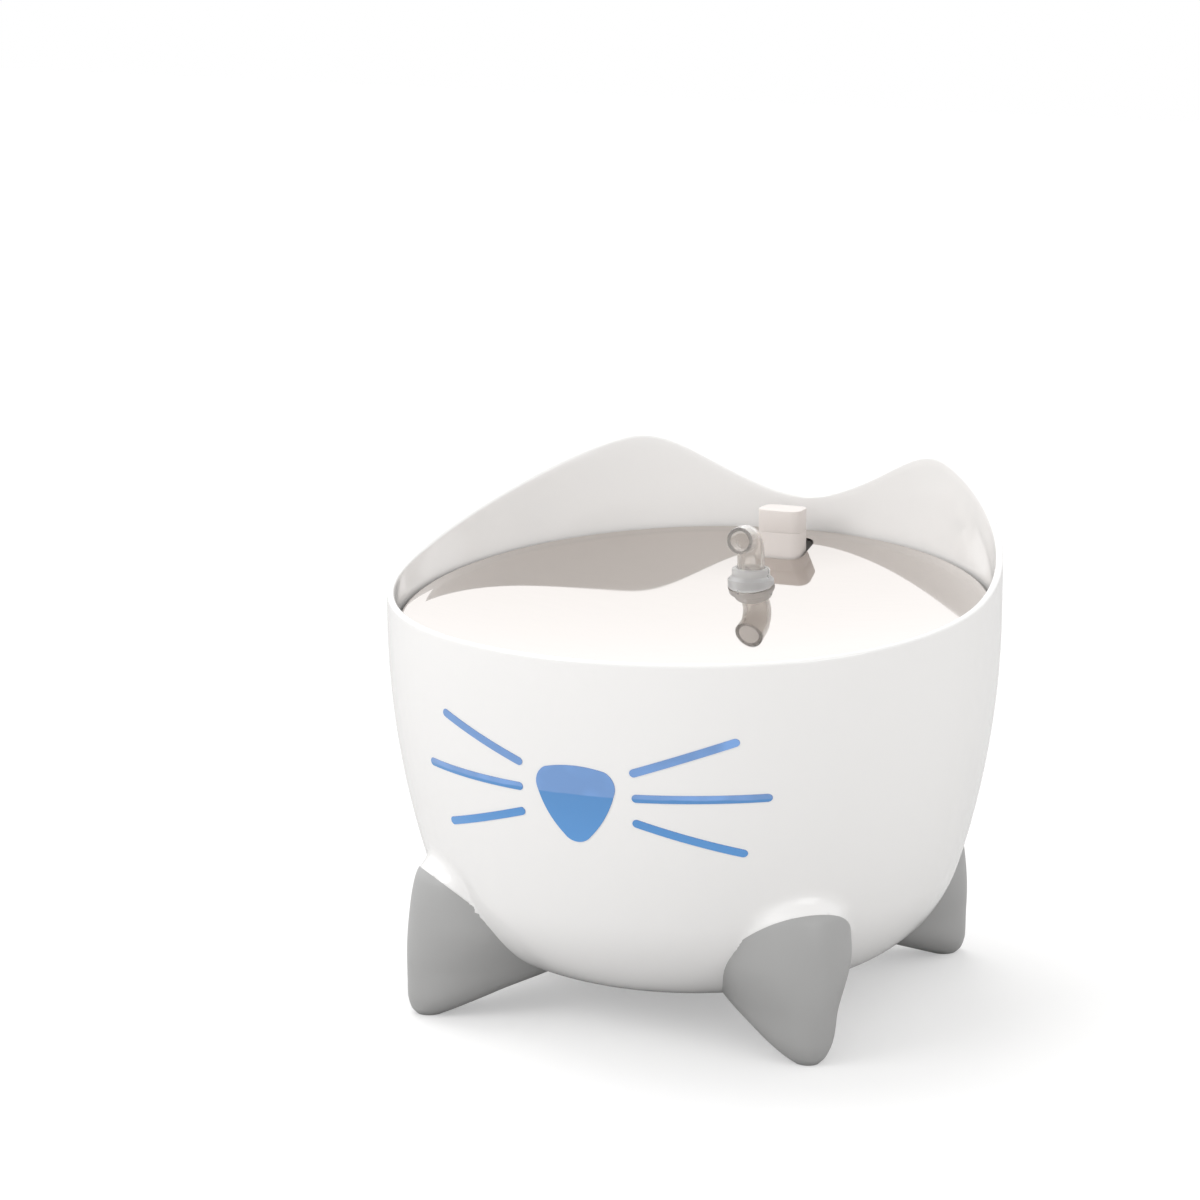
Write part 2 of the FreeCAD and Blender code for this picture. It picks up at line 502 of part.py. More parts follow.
# Rim line seen from the side, swept across the bowl.
rim_cutter = add("Part::Feature", "rim_cutter")
reach = val("rim_radius")
rim_points = [Vector(0, -reach - val("front_over"), val("front_rim")),
              Vector(0, val("brow_inset") - reach, val("brow_rim")),
              Vector(0, val("cheek_inset") - reach, val("cheek_rim")), Vector(0, 0, val("side_rim"))]
for place in ("flank", "temple", "crest", "ear", "nape"):
    rim_points.append(Vector(0, reach - val(place + "_inset"), val(place + "_rim")))
rim_points.append(Vector(0, reach + val("notch_over"), val("notch_rim")))
rim_curve = Part.BSplineCurve()
rim_curve.interpolate(rim_points, InitialTangent=Vector(0, 1, 0.01), FinalTangent=Vector(0, 0.25, -1))
sky = val("blank_top") + reach / 10
rim_wire = Part.Wire([rim_curve.toShape(), Part.makeLine(rim_points[-1], Vector(0, rim_points[-1].y, sky)),
                      Part.makeLine(Vector(0, rim_points[-1].y, sky), Vector(0, rim_points[0].y, sky)),
                      Part.makeLine(Vector(0, rim_points[0].y, sky), rim_points[0])])
rim_slab = Part.Face(rim_wire).extrude(Vector(3 * reach, 0, 0))
rim_slab.translate(Vector(-1.5 * reach, 0, 0))
rim_cutter.Shape = rim_slab

# Face: each whisker bar and the nose run through the wall, and the liner behind carries them.
def whisker(name, row, side):
    body = add("PartDesign::Body", name)
    sk = sketch(body, "XZ_Plane")
    length = "sqrt(({0}_end_x - {0}_start_x)^2 + ({0}_end_z - {0}_start_z)^2)".format(row)
    half = "whisker_width / 2"
    outline(sk, [("0 * wall", "-" + half), (length, "-" + half), (length, half), ("0 * wall", half)],
            {1: (half + " + arc_ease", -1), 3: (half + " + arc_ease", -1)})
    feature(body, "Pad", sk, Length="rim_radius + face_over")
    rise, run = (val("{0}_end_{1} - {0}_start_{1}".format(row, axis)) for axis in ("z", "x"))
    slope = math.degrees(math.atan2(rise, run))
    bind(body, "Placement.Base.x", "%d * %s_start_x" % (side, row))
    bind(body, "Placement.Base.z", row + "_start_z")
    angle = -slope if side > 0 else 180 + slope
    body.Placement.Rotation = Rotation(Vector(0, 1, 0), angle)
    return body


nose = add("PartDesign::Body", "nose_bar")
nose_sketch = sketch(nose, "XZ_Plane")
nose_right = [("nose_half - nose_brow_in", "nose_top - nose_brow_drop"),
              ("nose_half - nose_flank_in", "nose_widest - nose_flank_drop"),
              ("nose_tip_half", "nose_bottom + nose_tip_rise")]
nose_left = [("-(%s)" % x, z) for x, z in reversed(nose_right)]
outline(nose_sketch, [nose_left[-1]] + nose_right + nose_left[:-1],
        {0: ("nose_brow_radius", 1), 1: ("nose_cheek_radius", 1), 2: ("nose_side_radius", 1),
         3: ("nose_tip_radius", 1),
         4: ("nose_side_radius", 1), 5: ("nose_cheek_radius", 1)})
feature(nose, "Pad", nose_sketch, Length="rim_radius + face_over")
bars_right = [whisker("bar_right_" + row, row, 1) for row in ("upper", "middle", "lower")]
bars_left = [whisker("bar_left_" + row, row, -1) for row in ("upper", "middle", "lower")]
wall_only = boolean("Cut", "wall_only", bowl_outside, bowl_inside)
boolean("Common", "nose_window", wall_only, nose)
for side_name, bars in (("whiskers_right", bars_right), ("whiskers_left", bars_left)):
    boolean("Common", side_name, wall_only, boolean("Compound", side_name + "_bars", *bars))
liner_shell = boolean("Cut", "liner_shell", bowl_inside, liner_inside)
liner_block = add("Part::Box", "liner_block")
for prop, text in (("Length", "2 * liner_half"), ("Width", "rim_radius"),
                   ("Height", "liner_top - liner_bottom"),
                   ("Placement.Base.x", "-liner_half"), ("Placement.Base.y", "-rim_radius"),
                   ("Placement.Base.z", "liner_bottom")):
    bind(liner_block, prop, text)
boolean("Common", "face_liner", liner_shell, liner_block)

shell_blank = boolean("MultiFuse", "shell_blank", bowl_outside, *shoulders)
shell_hollow = boolean("Cut", "shell_hollow", shell_blank, bowl_inside)
shell_full = boolean("MultiFuse", "shell_full", shell_hollow, moulded_trim)
openings = boolean("Compound", "face_openings", nose, *bars_right, *bars_left)
shell_face = boolean("Cut", "shell_face", shell_full, openings)
boolean("Cut", "body_shell", shell_face, rim_cutter)

# Steel dish: a shallow ball-shaped cap with a rolled edge, drain slots and cut-outs for spout and post.
dish = add("PartDesign::Body", "dish_blank")
dish_sketch = sketch(dish, "XZ_Plane")
RIM_IN = "(%s - bead_radius)" % DISH_R
RIM_RISE = "-dish_sag + %s^2 / (2 * %s)" % (RIM_IN, DISH_BALL)
outline(dish_sketch, [("0", "-dish_sag"), (RIM_IN, RIM_RISE), (RIM_IN, RIM_RISE + " - steel"),
                      ("0", "-dish_sag - steel")],
        {0: (DISH_BALL, -1), 2: (DISH_BALL + " + steel", 1)})
feature(dish, "Revolution", dish_sketch)
bead_sketch = sketch(dish, "XZ_Plane")
ring(bead_sketch, "bead_radius", RIM_IN, "-bead_radius * 0.6")
feature(dish, "Revolution", bead_sketch)
slot_sketch = sketch(dish, "XY_Plane")
slot_sketch.AttachmentOffset = Placement(Vector(), Rotation(Vector(0, 0, 1), 1.0))
bind(slot_sketch, "AttachmentOffset.Rotation.Angle", "-(drain_count - 1) * drain_pitch / 2")
HALF_SLOT, SLOT_OUT, SLOT_IN = "drain_width / 2", "-drain_reach - drain_length / 2", "-drain_reach + drain_length / 2"
outline(slot_sketch, [("-" + HALF_SLOT, SLOT_OUT), (HALF_SLOT, SLOT_OUT), (HALF_SLOT, SLOT_IN),
                      ("-" + HALF_SLOT, SLOT_IN)],
        {0: (HALF_SLOT + " + arc_ease", -1), 2: (HALF_SLOT + " + arc_ease", -1)})
slot_pocket = feature(dish, "Pocket", slot_sketch, Length="4 * dish_sag", SideType="Symmetric")
polar(dish, slot_pocket, "Z_Axis", "drain_count", "(drain_count - 1) * drain_pitch")
dish.Placement = Placement(Vector(0, 0, val("dish_level")), Rotation(Vector(1, 0, 0), val("dish_tilt")))
dish_spin = boolean("Compound", "dish_turned", dish)

post_hole = add("PartDesign::Body", "post_hole")
rounded_box(post_hole, "post_width + 2 * post_gap", "notch_length",
            POST_BACK + " - post_depth / 2 - post_gap + notch_length / 2", CARRIER_LOW + " - carrier_floor",
            "4 * carrier_depth", "post_round + post_gap")
stem_hole = add("Part::Cylinder", "stem_hole")
for prop, text in (("Radius", "collar_stem + stem_gap"), ("Height", "4 * carrier_depth"),
                   ("Placement.Base.y", SPOUT_BACK),
                   ("Placement.Base.z", CARRIER_LOW + " - carrier_floor")):
    bind(stem_hole, prop, text)
boolean("Cut", "drinking_plate", dish_spin, boolean("Compound", "dish_holes", post_hole, stem_hole))

# Carrier: a ring under the rolled edge, with a floor that holds the filter tray.
carrier = add("PartDesign::Body", "carrier_blank")
carrier_sketch = sketch(carrier, "XZ_Plane")
CARRIER_IN, CARRIER_TOP = CARRIER_R + " - carrier_wall", "dish_level + 2 * dish_sag"
FLOOR_TOP = CARRIER_LOW + " + carrier_floor"
outline(carrier_sketch, [("0", CARRIER_LOW), (CARRIER_R, CARRIER_LOW), (CARRIER_R, CARRIER_TOP),
                         (CARRIER_IN, CARRIER_TOP),
                         (CARRIER_IN, FLOOR_TOP), ("0", FLOOR_TOP)])
feature(carrier, "Revolution", carrier_sketch)
top_sketch = sketch(carrier, "YZ_Plane")
UNDER = "dish_level - bead_radius * 1.65 / cos(dish_tilt)"
outline(top_sketch, [("-rim_radius", UNDER + " - rim_radius * tan(dish_tilt)"),
                     ("rim_radius", UNDER + " + rim_radius * tan(dish_tilt)"),
                     ("rim_radius", "dish_level + 4 * dish_sag"),
                     ("-rim_radius", "dish_level + 4 * dish_sag")])
feature(carrier, "Pocket", top_sketch, Length="3 * rim_radius", SideType="Symmetric")
tray_opening = sketch(carrier, "XY_Plane", CARRIER_LOW)
ring(tray_opening, "tray_radius - tray_seat", "0", "-filter_front")
feature(carrier, "Pocket", tray_opening, Length="3 * carrier_floor", SideType="Symmetric")
boolean("Cut", "plate_carrier", carrier, boolean("Compound", "carrier_holes", post_hole, stem_hole))


# Filter: a slotted tray under the carrier, and a cartridge frame with its carbon and foam.
def turned(name, profile, arcs=None):
    body = add("PartDesign::Body", name)
    sk = sketch(body, "XZ_Plane")
    outline(sk, profile, arcs)
    feature(body, "Revolution", sk)
    return body


TRAY_BOTTOM, TRAY_LIP, TRAY_IN = CARRIER_LOW + " - tray_depth", "tray_radius + tray_lip", "tray_radius - tray_wall"
tray = turned("filter_tray", [("0", "0 * wall"), ("tray_radius", "0 * wall"),
                              ("tray_radius", "tray_depth - tray_lip_depth"),
                              (TRAY_LIP, "tray_depth - tray_lip_depth"), (TRAY_LIP, "tray_depth"),
                              (TRAY_IN, "tray_depth"),
                              (TRAY_IN, "tray_floor"), ("0", "tray_floor")])
grate_sketch = sketch(tray, "XY_Plane")
GRATE_OUT = TRAY_IN + " - grate_margin"
outline(grate_sketch, [("-grate_narrow", "grate_inner"), ("grate_narrow", "grate_inner"),
                       ("grate_wide", GRATE_OUT),
                       ("-grate_wide", GRATE_OUT)])
grate = feature(tray, "Pocket", grate_sketch, Length="3 * tray_floor", SideType="Symmetric")
polar(tray, grate, "Z_Axis", "grate_count")
FRAME_R = "(tray_radius - tray_wall - filter_gap)"
FRAME_IN = FRAME_R + " - frame_wall"
frame = turned("filter_frame", [(FRAME_IN, "0 * wall"), (FRAME_R, "0 * wall"), (FRAME_R, "frame_depth"),
                                (FRAME_IN, "frame_depth")])
bar_sketch = sketch(frame, "XY_Plane")
BAR_END = "(%s - bar_bite)" % FRAME_R
outline(bar_sketch, [("-bar_half", "-" + BAR_END), ("bar_half", "-" + BAR_END), ("bar_half", BAR_END),
                     ("-bar_half", BAR_END)])
bar_pad = feature(frame, "Pad", bar_sketch, Length="bar_depth")
polar(frame, bar_pad, "Z_Axis", "3", "120")
FILL_R = "(%s - filter_play)" % FRAME_IN
CARBON_LOW = "(bar_depth + filter_play)"
CARBON_TOP = "(%s + carbon_depth)" % CARBON_LOW
carbon = turned("filter_carbon", [("0", CARBON_LOW), (FILL_R + " - carbon_edge", CARBON_LOW),
                                  (FILL_R, CARBON_LOW + " + carbon_edge"),
                                  (FILL_R, CARBON_TOP + " - carbon_edge"),
                                  (FILL_R + " - carbon_edge", CARBON_TOP), ("0", CARBON_TOP)])
FOAM_LOW = "(%s + filter_play)" % CARBON_TOP
FOAM_TOP = "(%s + foam_depth)" % FOAM_LOW
foam = turned("filter_foam", [("0", FOAM_LOW), (FILL_R + " - carbon_edge", FOAM_LOW),
                              (FILL_R, FOAM_LOW + " + carbon_edge"),
                              (FILL_R, FOAM_TOP + " - foam_edge"), (FILL_R + " - foam_edge", FOAM_TOP),
                              ("0", FOAM_TOP)])
for piece, lift in ((tray, "0 * wall"), (frame, "tray_floor + seat_play"), (carbon, "tray_floor + seat_play"),
                    (foam, "tray_floor + seat_play")):
    bind(piece, "Placement.Base.y", "-filter_front")
    bind(piece, "Placement.Base.z", TRAY_BOTTOM + " + " + lift)

# Spout, its collar and the riser tube share one upright axis.
COLLAR_LOW, COLLAR_TOP = COLLAR_SEAT + " - collar_depth", COLLAR_SEAT + " + collar_height"
STEP, STEP_LOW = COLLAR_SEAT + " - collar_step", COLLAR_SEAT + " - collar_step - step_depth"
TUBE_HOLE = "tube_radius + tube_gap"
BLANK_LOW = COLLAR_SEAT + " - 2 * flange_height"
collar = turned("collar_blank", [(TUBE_HOLE, COLLAR_LOW), ("collar_stem", COLLAR_LOW),
                                 ("collar_stem", BLANK_LOW),
                                 ("collar_flange", BLANK_LOW),
                                 ("collar_flange", COLLAR_SEAT + " + flange_height"),
                                 ("collar_radius", COLLAR_SEAT + " + flange_height + flange_rise"),
                                 ("collar_radius", COLLAR_TOP + " - collar_edge"),
                                 ("collar_radius - collar_edge", COLLAR_TOP),
                                 ("spout_radius + turn_gap", COLLAR_TOP),
                                 ("spout_radius + turn_gap", STEP), ("spout_bore", STEP),
                                 ("spout_bore", STEP_LOW),
                                 (TUBE_HOLE, STEP_LOW)])
seat_sketch = sketch(collar, "YZ_Plane")
REACH = "(2 * collar_flange)"
outline(seat_sketch, [("-" + REACH, "%s - %s * %s" % (COLLAR_SEAT, REACH, SEAT_SLOPE)),
                      (REACH, "%s + %s * %s" % (COLLAR_SEAT, REACH, SEAT_SLOPE)),
                      (REACH, COLLAR_SEAT + " - 2 * collar_flange"),
                      ("-" + REACH, COLLAR_SEAT + " - 2 * collar_flange")])
feature(collar, "Pocket", seat_sketch, Length="4 * collar_flange", SideType="Symmetric")
stem = turned("collar_stem_ring", [(TUBE_HOLE, COLLAR_LOW), ("collar_stem", COLLAR_LOW),
                                   ("collar_stem", STEP),
                                   (TUBE_HOLE, STEP_LOW)])
boolean("MultiFuse", "spout_collar", collar, stem)
for piece in (collar, stem):
    bind(piece, "Placement.Base.y", SPOUT_BACK)


def pipe(radius, path):
    """Round bar of a radius along a wire, with straight ends."""
    start = path.Edges[0]
    ring_edge = Part.Circle(path.Vertexes[0].Point, start.tangentAt(start.FirstParameter), radius).toShape()
    circle = Part.Wire([ring_edge])
    solid = path.makePipeShell([circle], True, False, 0)
    return solid if solid.Volume > 0 else solid.reversed()


back_y, bend, mouth = val(SPOUT_BACK), val("spout_turn"), val(COLLAR_SEAT + " + spout_height")
bottom_z = val(STEP + " + stand_gap")
p_bottom, p_bend = Vector(0, back_y, bottom_z), Vector(0, back_y, mouth - bend)
p_turn = Vector(0, back_y - bend, mouth)
p_mouth = Vector(0, back_y - bend - val("spout_reach"), mouth)
corner = Vector(0, back_y - bend + bend * math.cos(math.radians(45)),
                mouth - bend + bend * math.sin(math.radians(45)))
spout_path = Part.Wire([Part.LineSegment(p_bottom, p_bend).toShape(),
                        Part.Arc(p_bend, corner, p_turn).toShape(),
                        Part.LineSegment(p_turn, p_mouth).toShape()])
spout = add("Part::Feature", "spout")
spout.Shape = pipe(val("spout_radius"), spout_path).cut(pipe(val("spout_bore"), spout_path))

OUTLET_TOP = PUMP_TOP + " + outlet_height"
flow = turned("flow_tube", [("tube_bore", OUTLET_TOP + " + tube_lift"),
                            ("tube_radius", OUTLET_TOP + " + tube_lift"),
                            ("tube_radius", COLLAR_SEAT + " - tube_drop"),
                            ("tube_bore", COLLAR_SEAT + " - tube_drop")])
SLEEVE_LOW, SLEEVE_TOP = PUMP_TOP + " + sleeve_foot", OUTLET_TOP + " + sleeve_grip"
sleeve = turned("tube_sleeve", [("outlet_radius", SLEEVE_LOW), ("outlet_radius + sleeve_wall", SLEEVE_LOW),
                                ("outlet_radius + sleeve_wall", OUTLET_TOP),
                                ("tube_radius + sleeve_wall", OUTLET_TOP + " + sleeve_taper"),
                                ("tube_radius + sleeve_wall", SLEEVE_TOP), ("tube_radius", SLEEVE_TOP),
                                ("tube_radius", OUTLET_TOP + " + tube_lift / 2"),
                                ("outlet_radius", OUTLET_TOP + " + tube_lift / 2")])
for piece in (flow, sleeve):
    bind(piece, "Placement.Base.y", SPOUT_BACK)

# Riser post for the lead: a rounded square tube that stands in the curve of the bowl, with a cap.
post = add("PartDesign::Body", "post_blank")
CAP_LOW = "(%s - cap_depth)" % POST_TOP
rounded_box(post, "post_width", "post_depth", POST_BACK, "post_foot", CAP_LOW + " - post_foot", "post_round")
core_sketch = sketch(post, "XY_Plane", "post_foot")
X_IN, Y_IN = "(post_width / 2 - post_wall)", "(post_depth / 2 - post_wall)"


def inner_square(sk, play):
    x, near, far = X_IN + play, "%s - (%s%s)" % (POST_BACK, Y_IN, play), "%s + (%s%s)" % (POST_BACK, Y_IN, play)
    outline(sk, [("-(%s)" % x, near), (x, near), (x, far), ("-(%s)" % x, far)])


inner_square(core_sketch, "")
feature(post, "Pocket", core_sketch, Length="2 * " + POST_TOP, SideType="Symmetric")
door_sketch = sketch(post, "XZ_Plane", "-%s + post_depth / 2 - 1.5 * post_wall" % POST_BACK)
outline(door_sketch, [("-door_half", "door_bottom"), ("door_half", "door_bottom"), ("door_half", "door_top"),
                      ("-door_half", "door_top")], {2: ("door_half + 20 * arc_ease", -1)})
feature(post, "Pocket", door_sketch, Length="3 * post_wall", SideType="Symmetric")
gland_hole = sketch(post, "XZ_Plane", "-%s - post_depth / 2" % POST_BACK)
ring(gland_hole, "gland_radius - gland_flange", "0", GLAND_LEVEL)
feature(post, "Pocket", gland_hole, Length="3 * post_wall", SideType="Symmetric")
boolean("Common", "cable_post", post, bowl_inside)
cap = add("PartDesign::Body", "post_cap")
rounded_box(cap, "post_width", "post_depth", POST_BACK, CAP_LOW, "cap_depth", "post_round")
plug_sketch = sketch(cap, "XY_Plane", CAP_LOW + " - cap_plug")
inner_square(plug_sketch, " - cap_play")
feature(cap, "Pad", plug_sketch, Length="cap_plug + post_wall / 4")
GLAND_BORE, GROOVE = "lead_radius + lead_play", "gland_radius - gland_flange"
gland = turned("cable_gland", [(GLAND_BORE, "-post_wall - gland_lip"), (GROOVE, "-post_wall - gland_lip"),
                               (GROOVE, "0 * wall"),
                               ("gland_radius + gland_flange", "0 * wall"),
                               ("gland_radius + gland_flange", "gland_lip"),
                               ("gland_radius", "gland_lip"), (GROOVE, "gland_length"),
                               (GLAND_BORE, "gland_length")])
gland.Placement = Placement(Vector(0, val(POST_BACK + " + post_depth / 2"), val(GLAND_LEVEL)),
                            Rotation(Vector(1, 0, 0), -90))

# Pump housing: a chamber for the stator, open at the front, and a chamber for the impeller, open at the back.
housing = add("PartDesign::Body", "pump_housing")
rounded_box(housing, "pump_width", "pump_length", "(%s + %s) / 2" % (PUMP_FRONT, PUMP_BACK), FOOT,
            "pump_height",
            "pump_round")
stator_room = sketch(housing, "XZ_Plane", "-" + PUMP_FRONT)
HALF_ROOM = "(pump_width / 2 - pump_wall)"
outline(stator_room, [("-" + HALF_ROOM, FOOT + " + pump_wall"), (HALF_ROOM, FOOT + " + pump_wall"),
                      (HALF_ROOM, PUMP_TOP + " - pump_wall"), ("-" + HALF_ROOM, PUMP_TOP + " - pump_wall")])
feature(housing, "Pocket", stator_room, Length="2 * stator_depth", SideType="Symmetric")
well_sketch = sketch(housing, "XZ_Plane", "-%s - stator_depth" % PUMP_FRONT)
ring(well_sketch, "well_radius + well_wall", "0", ROTOR_LEVEL)
feature(housing, "Pad", well_sketch, Length="stator_depth - potting_depth - well_clear")
chamber_sketch = sketch(housing, "XZ_Plane", "-" + PUMP_BACK)
ring(chamber_sketch, "chamber_radius", "0", ROTOR_LEVEL)
feature(housing, "Pocket", chamber_sketch, Length="2 * chamber_depth", SideType="Symmetric")
bore_sketch = sketch(housing, "XZ_Plane", "-%s + chamber_depth" % PUMP_BACK)
ring(bore_sketch, "well_radius", "0", ROTOR_LEVEL)
feature(housing, "Pocket", bore_sketch, Length="2 * (well_depth - well_end - bush_length)",
        SideType="Symmetric")
bush_seat = sketch(housing, "XZ_Plane",
                   "-%s + chamber_depth + well_depth - well_end - bush_length" % PUMP_BACK)
ring(bush_seat, "bush_radius", "0", ROTOR_LEVEL)
feature(housing, "Pocket", bush_seat, Length="2 * bush_length", SideType="Symmetric")
outlet_sketch = sketch(housing, "XY_Plane", PUMP_TOP)
ring(outlet_sketch, "outlet_radius", "0", SPOUT_BACK)
feature(housing, "Pad", outlet_sketch, Length="outlet_height")
outlet_bore = sketch(housing, "XY_Plane", PUMP_TOP + " + outlet_height")
ring(outlet_bore, "tube_bore", "0", SPOUT_BACK)
feature(housing, "Pocket", outlet_bore, Length="2 * (outlet_height + pump_height / 2)", SideType="Symmetric")

potting = add("PartDesign::Body", "motor_potting")
potting_sketch = sketch(potting, "XZ_Plane", "-%s - potting_set" % PUMP_FRONT)
outline(potting_sketch, [("-" + HALF_ROOM, FOOT + " + pump_wall"), (HALF_ROOM, FOOT + " + pump_wall"),
                         (HALF_ROOM, PUMP_TOP + " - pump_wall"),
                         ("-" + HALF_ROOM, PUMP_TOP + " - pump_wall")])
feature(potting, "Pad", potting_sketch, Length="potting_depth", Reversed=True)

CORE_IN = "(well_radius + well_wall + core_gap)"
CORE_OUT = "(%s + core_leg)" % CORE_IN
CORE_FRONT = "(%s + potting_depth + core_set)" % PUMP_FRONT
CORE_FOOT = "(%s + core_rise)" % FOOT
CORE_TOP = "(%s + core_height)" % CORE_FOOT
core = add("PartDesign::Body", "stator_core")
core_sketch = sketch(core, "XZ_Plane", "-" + CORE_FRONT)
outline(core_sketch, [("-" + CORE_OUT, CORE_FOOT), ("-" + CORE_IN, CORE_FOOT),
                      ("-" + CORE_IN, CORE_TOP + " - core_leg"),
                      (CORE_IN, CORE_TOP + " - core_leg"), (CORE_IN, CORE_FOOT), (CORE_OUT, CORE_FOOT),
                      (CORE_OUT, CORE_TOP),
                      ("-" + CORE_OUT, CORE_TOP)])
feature(core, "Pad", core_sketch, Length="core_depth", Reversed=True)
COIL_MID, COIL_LEVEL = "(%s + core_depth / 2)" % CORE_FRONT, "(%s - core_leg / 2)" % CORE_TOP


def round_the_core(sk, build):
    y, z = "(core_depth / 2 + coil_play%s)" % build, "(core_leg / 2 + coil_play%s)" % build
    near, far = COIL_MID + " - " + y, COIL_MID + " + " + y
    low, high = COIL_LEVEL + " - " + z, COIL_LEVEL + " + " + z
    outline(sk, [(near, low), (far, low), (far, high), (near, high)])


coil = add("PartDesign::Body", "stator_coil")
coil_sketch = sketch(coil, "YZ_Plane", "-coil_half")
round_the_core(coil_sketch, " + coil_build")
feature(coil, "Pad", coil_sketch, Length="2 * coil_half")
coil_hole = sketch(coil, "YZ_Plane", "coil_half")
round_the_core(coil_hole, "")
feature(coil, "Pocket", coil_hole, Length="6 * coil_half", SideType="Symmetric")


def lay_back(body, start):
    """Turn a piece made round +Z so that it runs along +Y from a distance behind the bowl's axis."""
    body.Placement = Placement(Vector(0, val(start), val(ROTOR_LEVEL)), Rotation(Vector(1, 0, 0), -90))


# Impeller, magnet, shaft and bushes share the rotor's axis.
SHAFT_START = "(%s - chamber_depth - well_depth + well_end + shaft_play)" % PUMP_BACK
DISC_START = "(%s - chamber_depth + impeller_run)" % PUMP_BACK
shaft = turned("rotor_shaft", [("0", "0 * wall"), ("shaft_radius - shaft_edge", "0 * wall"),
                               ("shaft_radius", "shaft_edge"),
                               ("shaft_radius", "shaft_length - shaft_edge"),
                               ("shaft_radius - shaft_edge", "shaft_length"), ("0", "shaft_length")])
lay_back(shaft, SHAFT_START)
MAGNET_BORE, MAGNET_IN = "shaft_radius + magnet_play", "magnet_radius - magnet_edge"
magnet = turned("rotor_magnet", [(MAGNET_BORE, "0 * wall"), (MAGNET_IN, "0 * wall"),
                                 ("magnet_radius", "magnet_edge"),
                                 ("magnet_radius", "magnet_length - magnet_edge"),
                                 (MAGNET_IN, "magnet_length"),
                                 (MAGNET_BORE, "magnet_length")])
lay_back(magnet, DISC_START + " - magnet_length")
HUB_BORE, HUB_TOP = "shaft_radius + shaft_play", "impeller_disc + vane_height - hub_root"
impeller = turned("impeller", [(HUB_BORE, "0 * wall"), ("impeller_radius", "0 * wall"),
                               ("impeller_radius", "impeller_disc"),
                               ("hub_radius", "impeller_disc"), ("hub_radius - hub_taper", HUB_TOP),
                               (HUB_BORE, HUB_TOP)])
vane_sketch = sketch(impeller, "XY_Plane")
VANE_ROOT, VANE_END = "hub_radius - hub_root", "impeller_radius - vane_trim"
outline(vane_sketch, [(VANE_ROOT, "-vane_width / 2"), (VANE_END, "-vane_width / 2 - vane_sweep"),
                      (VANE_END, "vane_width / 2 - vane_sweep"), (VANE_ROOT, "vane_width / 2")],
        {0: ("impeller_radius", 1), 2: ("impeller_radius", -1)})
vane_pad = feature(impeller, "Pad", vane_sketch, Length="impeller_disc + vane_height")
polar(impeller, vane_pad, "Z_Axis", "vane_count")
lay_back(impeller, DISC_START)
bush = turned("bush_turned", [("shaft_radius", "0 * wall"), ("bush_radius", "0 * wall"),
                              ("bush_radius", "bush_length"),
                              ("shaft_radius", "bush_length")])
bush_front = boolean("Compound", "bush_front", bush)
bush_rear = boolean("Compound", "bush_rear", bush)
lay_back(bush_front, SHAFT_START)
lay_back(bush_rear, SHAFT_START + " + shaft_length - bush_length")
boolean("Compound", "shaft_bushes", bush_front, bush_rear)

# Cover with its intake grille: slots round a hub that holds the rear bush.
cover = add("PartDesign::Body", "pump_cover")
cover_sketch = sketch(cover, "XY_Plane")
HALF_COVER = "(pump_width / 2 - cover_margin)"
COVER_TOP, COVER_FOOT = "(%s - %s + cover_over)" % (ROTOR_LEVEL, PUMP_TOP), "rotor_rise"
outline(cover_sketch, [("-" + HALF_COVER, COVER_TOP), (HALF_COVER, COVER_TOP), (HALF_COVER, COVER_FOOT),
                       ("-" + HALF_COVER, COVER_FOOT)])
feature(cover, "Pad", cover_sketch, Length="cover_depth")
grille_sketch = sketch(cover, "XY_Plane")
HALF_GRILLE = "slot_width / 2"
outline(grille_sketch, [("-" + HALF_GRILLE, "slot_inner"), (HALF_GRILLE, "slot_inner"),
                        (HALF_GRILLE, "slot_outer"),
                        ("-" + HALF_GRILLE, "slot_outer")],
        {0: (HALF_GRILLE + " + arc_ease", -1), 2: (HALF_GRILLE + " + arc_ease", -1)})
grille = feature(cover, "Pocket", grille_sketch, Length="3 * cover_depth", SideType="Symmetric")
polar(cover, grille, "Z_Axis", "cover_slots")
BUSH_START = "(%s + shaft_length - bush_length)" % SHAFT_START
hub_sketch = sketch(cover, "XY_Plane", "cover_depth / 4")
ring(hub_sketch, "bush_radius + bush_wall")
feature(cover, "Pad", hub_sketch, Length="%s + cover_depth / 4 - %s" % (PUMP_BACK, BUSH_START), Reversed=True)
hub_bore = sketch(cover, "XY_Plane", "%s - %s" % (BUSH_START, PUMP_BACK))
ring(hub_bore, "bush_radius")
feature(cover, "Pocket", hub_bore, Length="2 * bush_length", SideType="Symmetric")
lay_back(cover, PUMP_BACK)

# Suction cups stand on the deck under the pump's corners.
cups = []
CUP_FRONT, CUP_BACK = PUMP_FRONT + " + cup_inset", PUMP_BACK + " - cup_inset"
for number, (side, depth) in enumerate(((-1, CUP_FRONT), (1, CUP_FRONT), (-1, CUP_BACK), (1, CUP_BACK)),
                                       start=1):
    cup = turned("cup_%d" % number, [("0", "cup_lip"), ("cup_radius - cup_lip", "0 * wall"),
                                     ("cup_radius", "0 * wall"),
                                     ("cup_neck", "cup_height * 0.6"), ("cup_neck", "cup_height"),
                                     ("0", "cup_height")])
    bind(cup, "Placement.Base.x", "%d * (pump_width / 2 - cup_inset)" % side)
    bind(cup, "Placement.Base.y", depth)
    bind(cup, "Placement.Base.z", DECK_TOP)
    cups.append(cup)
boolean("Compound", "suction_cups", *cups)

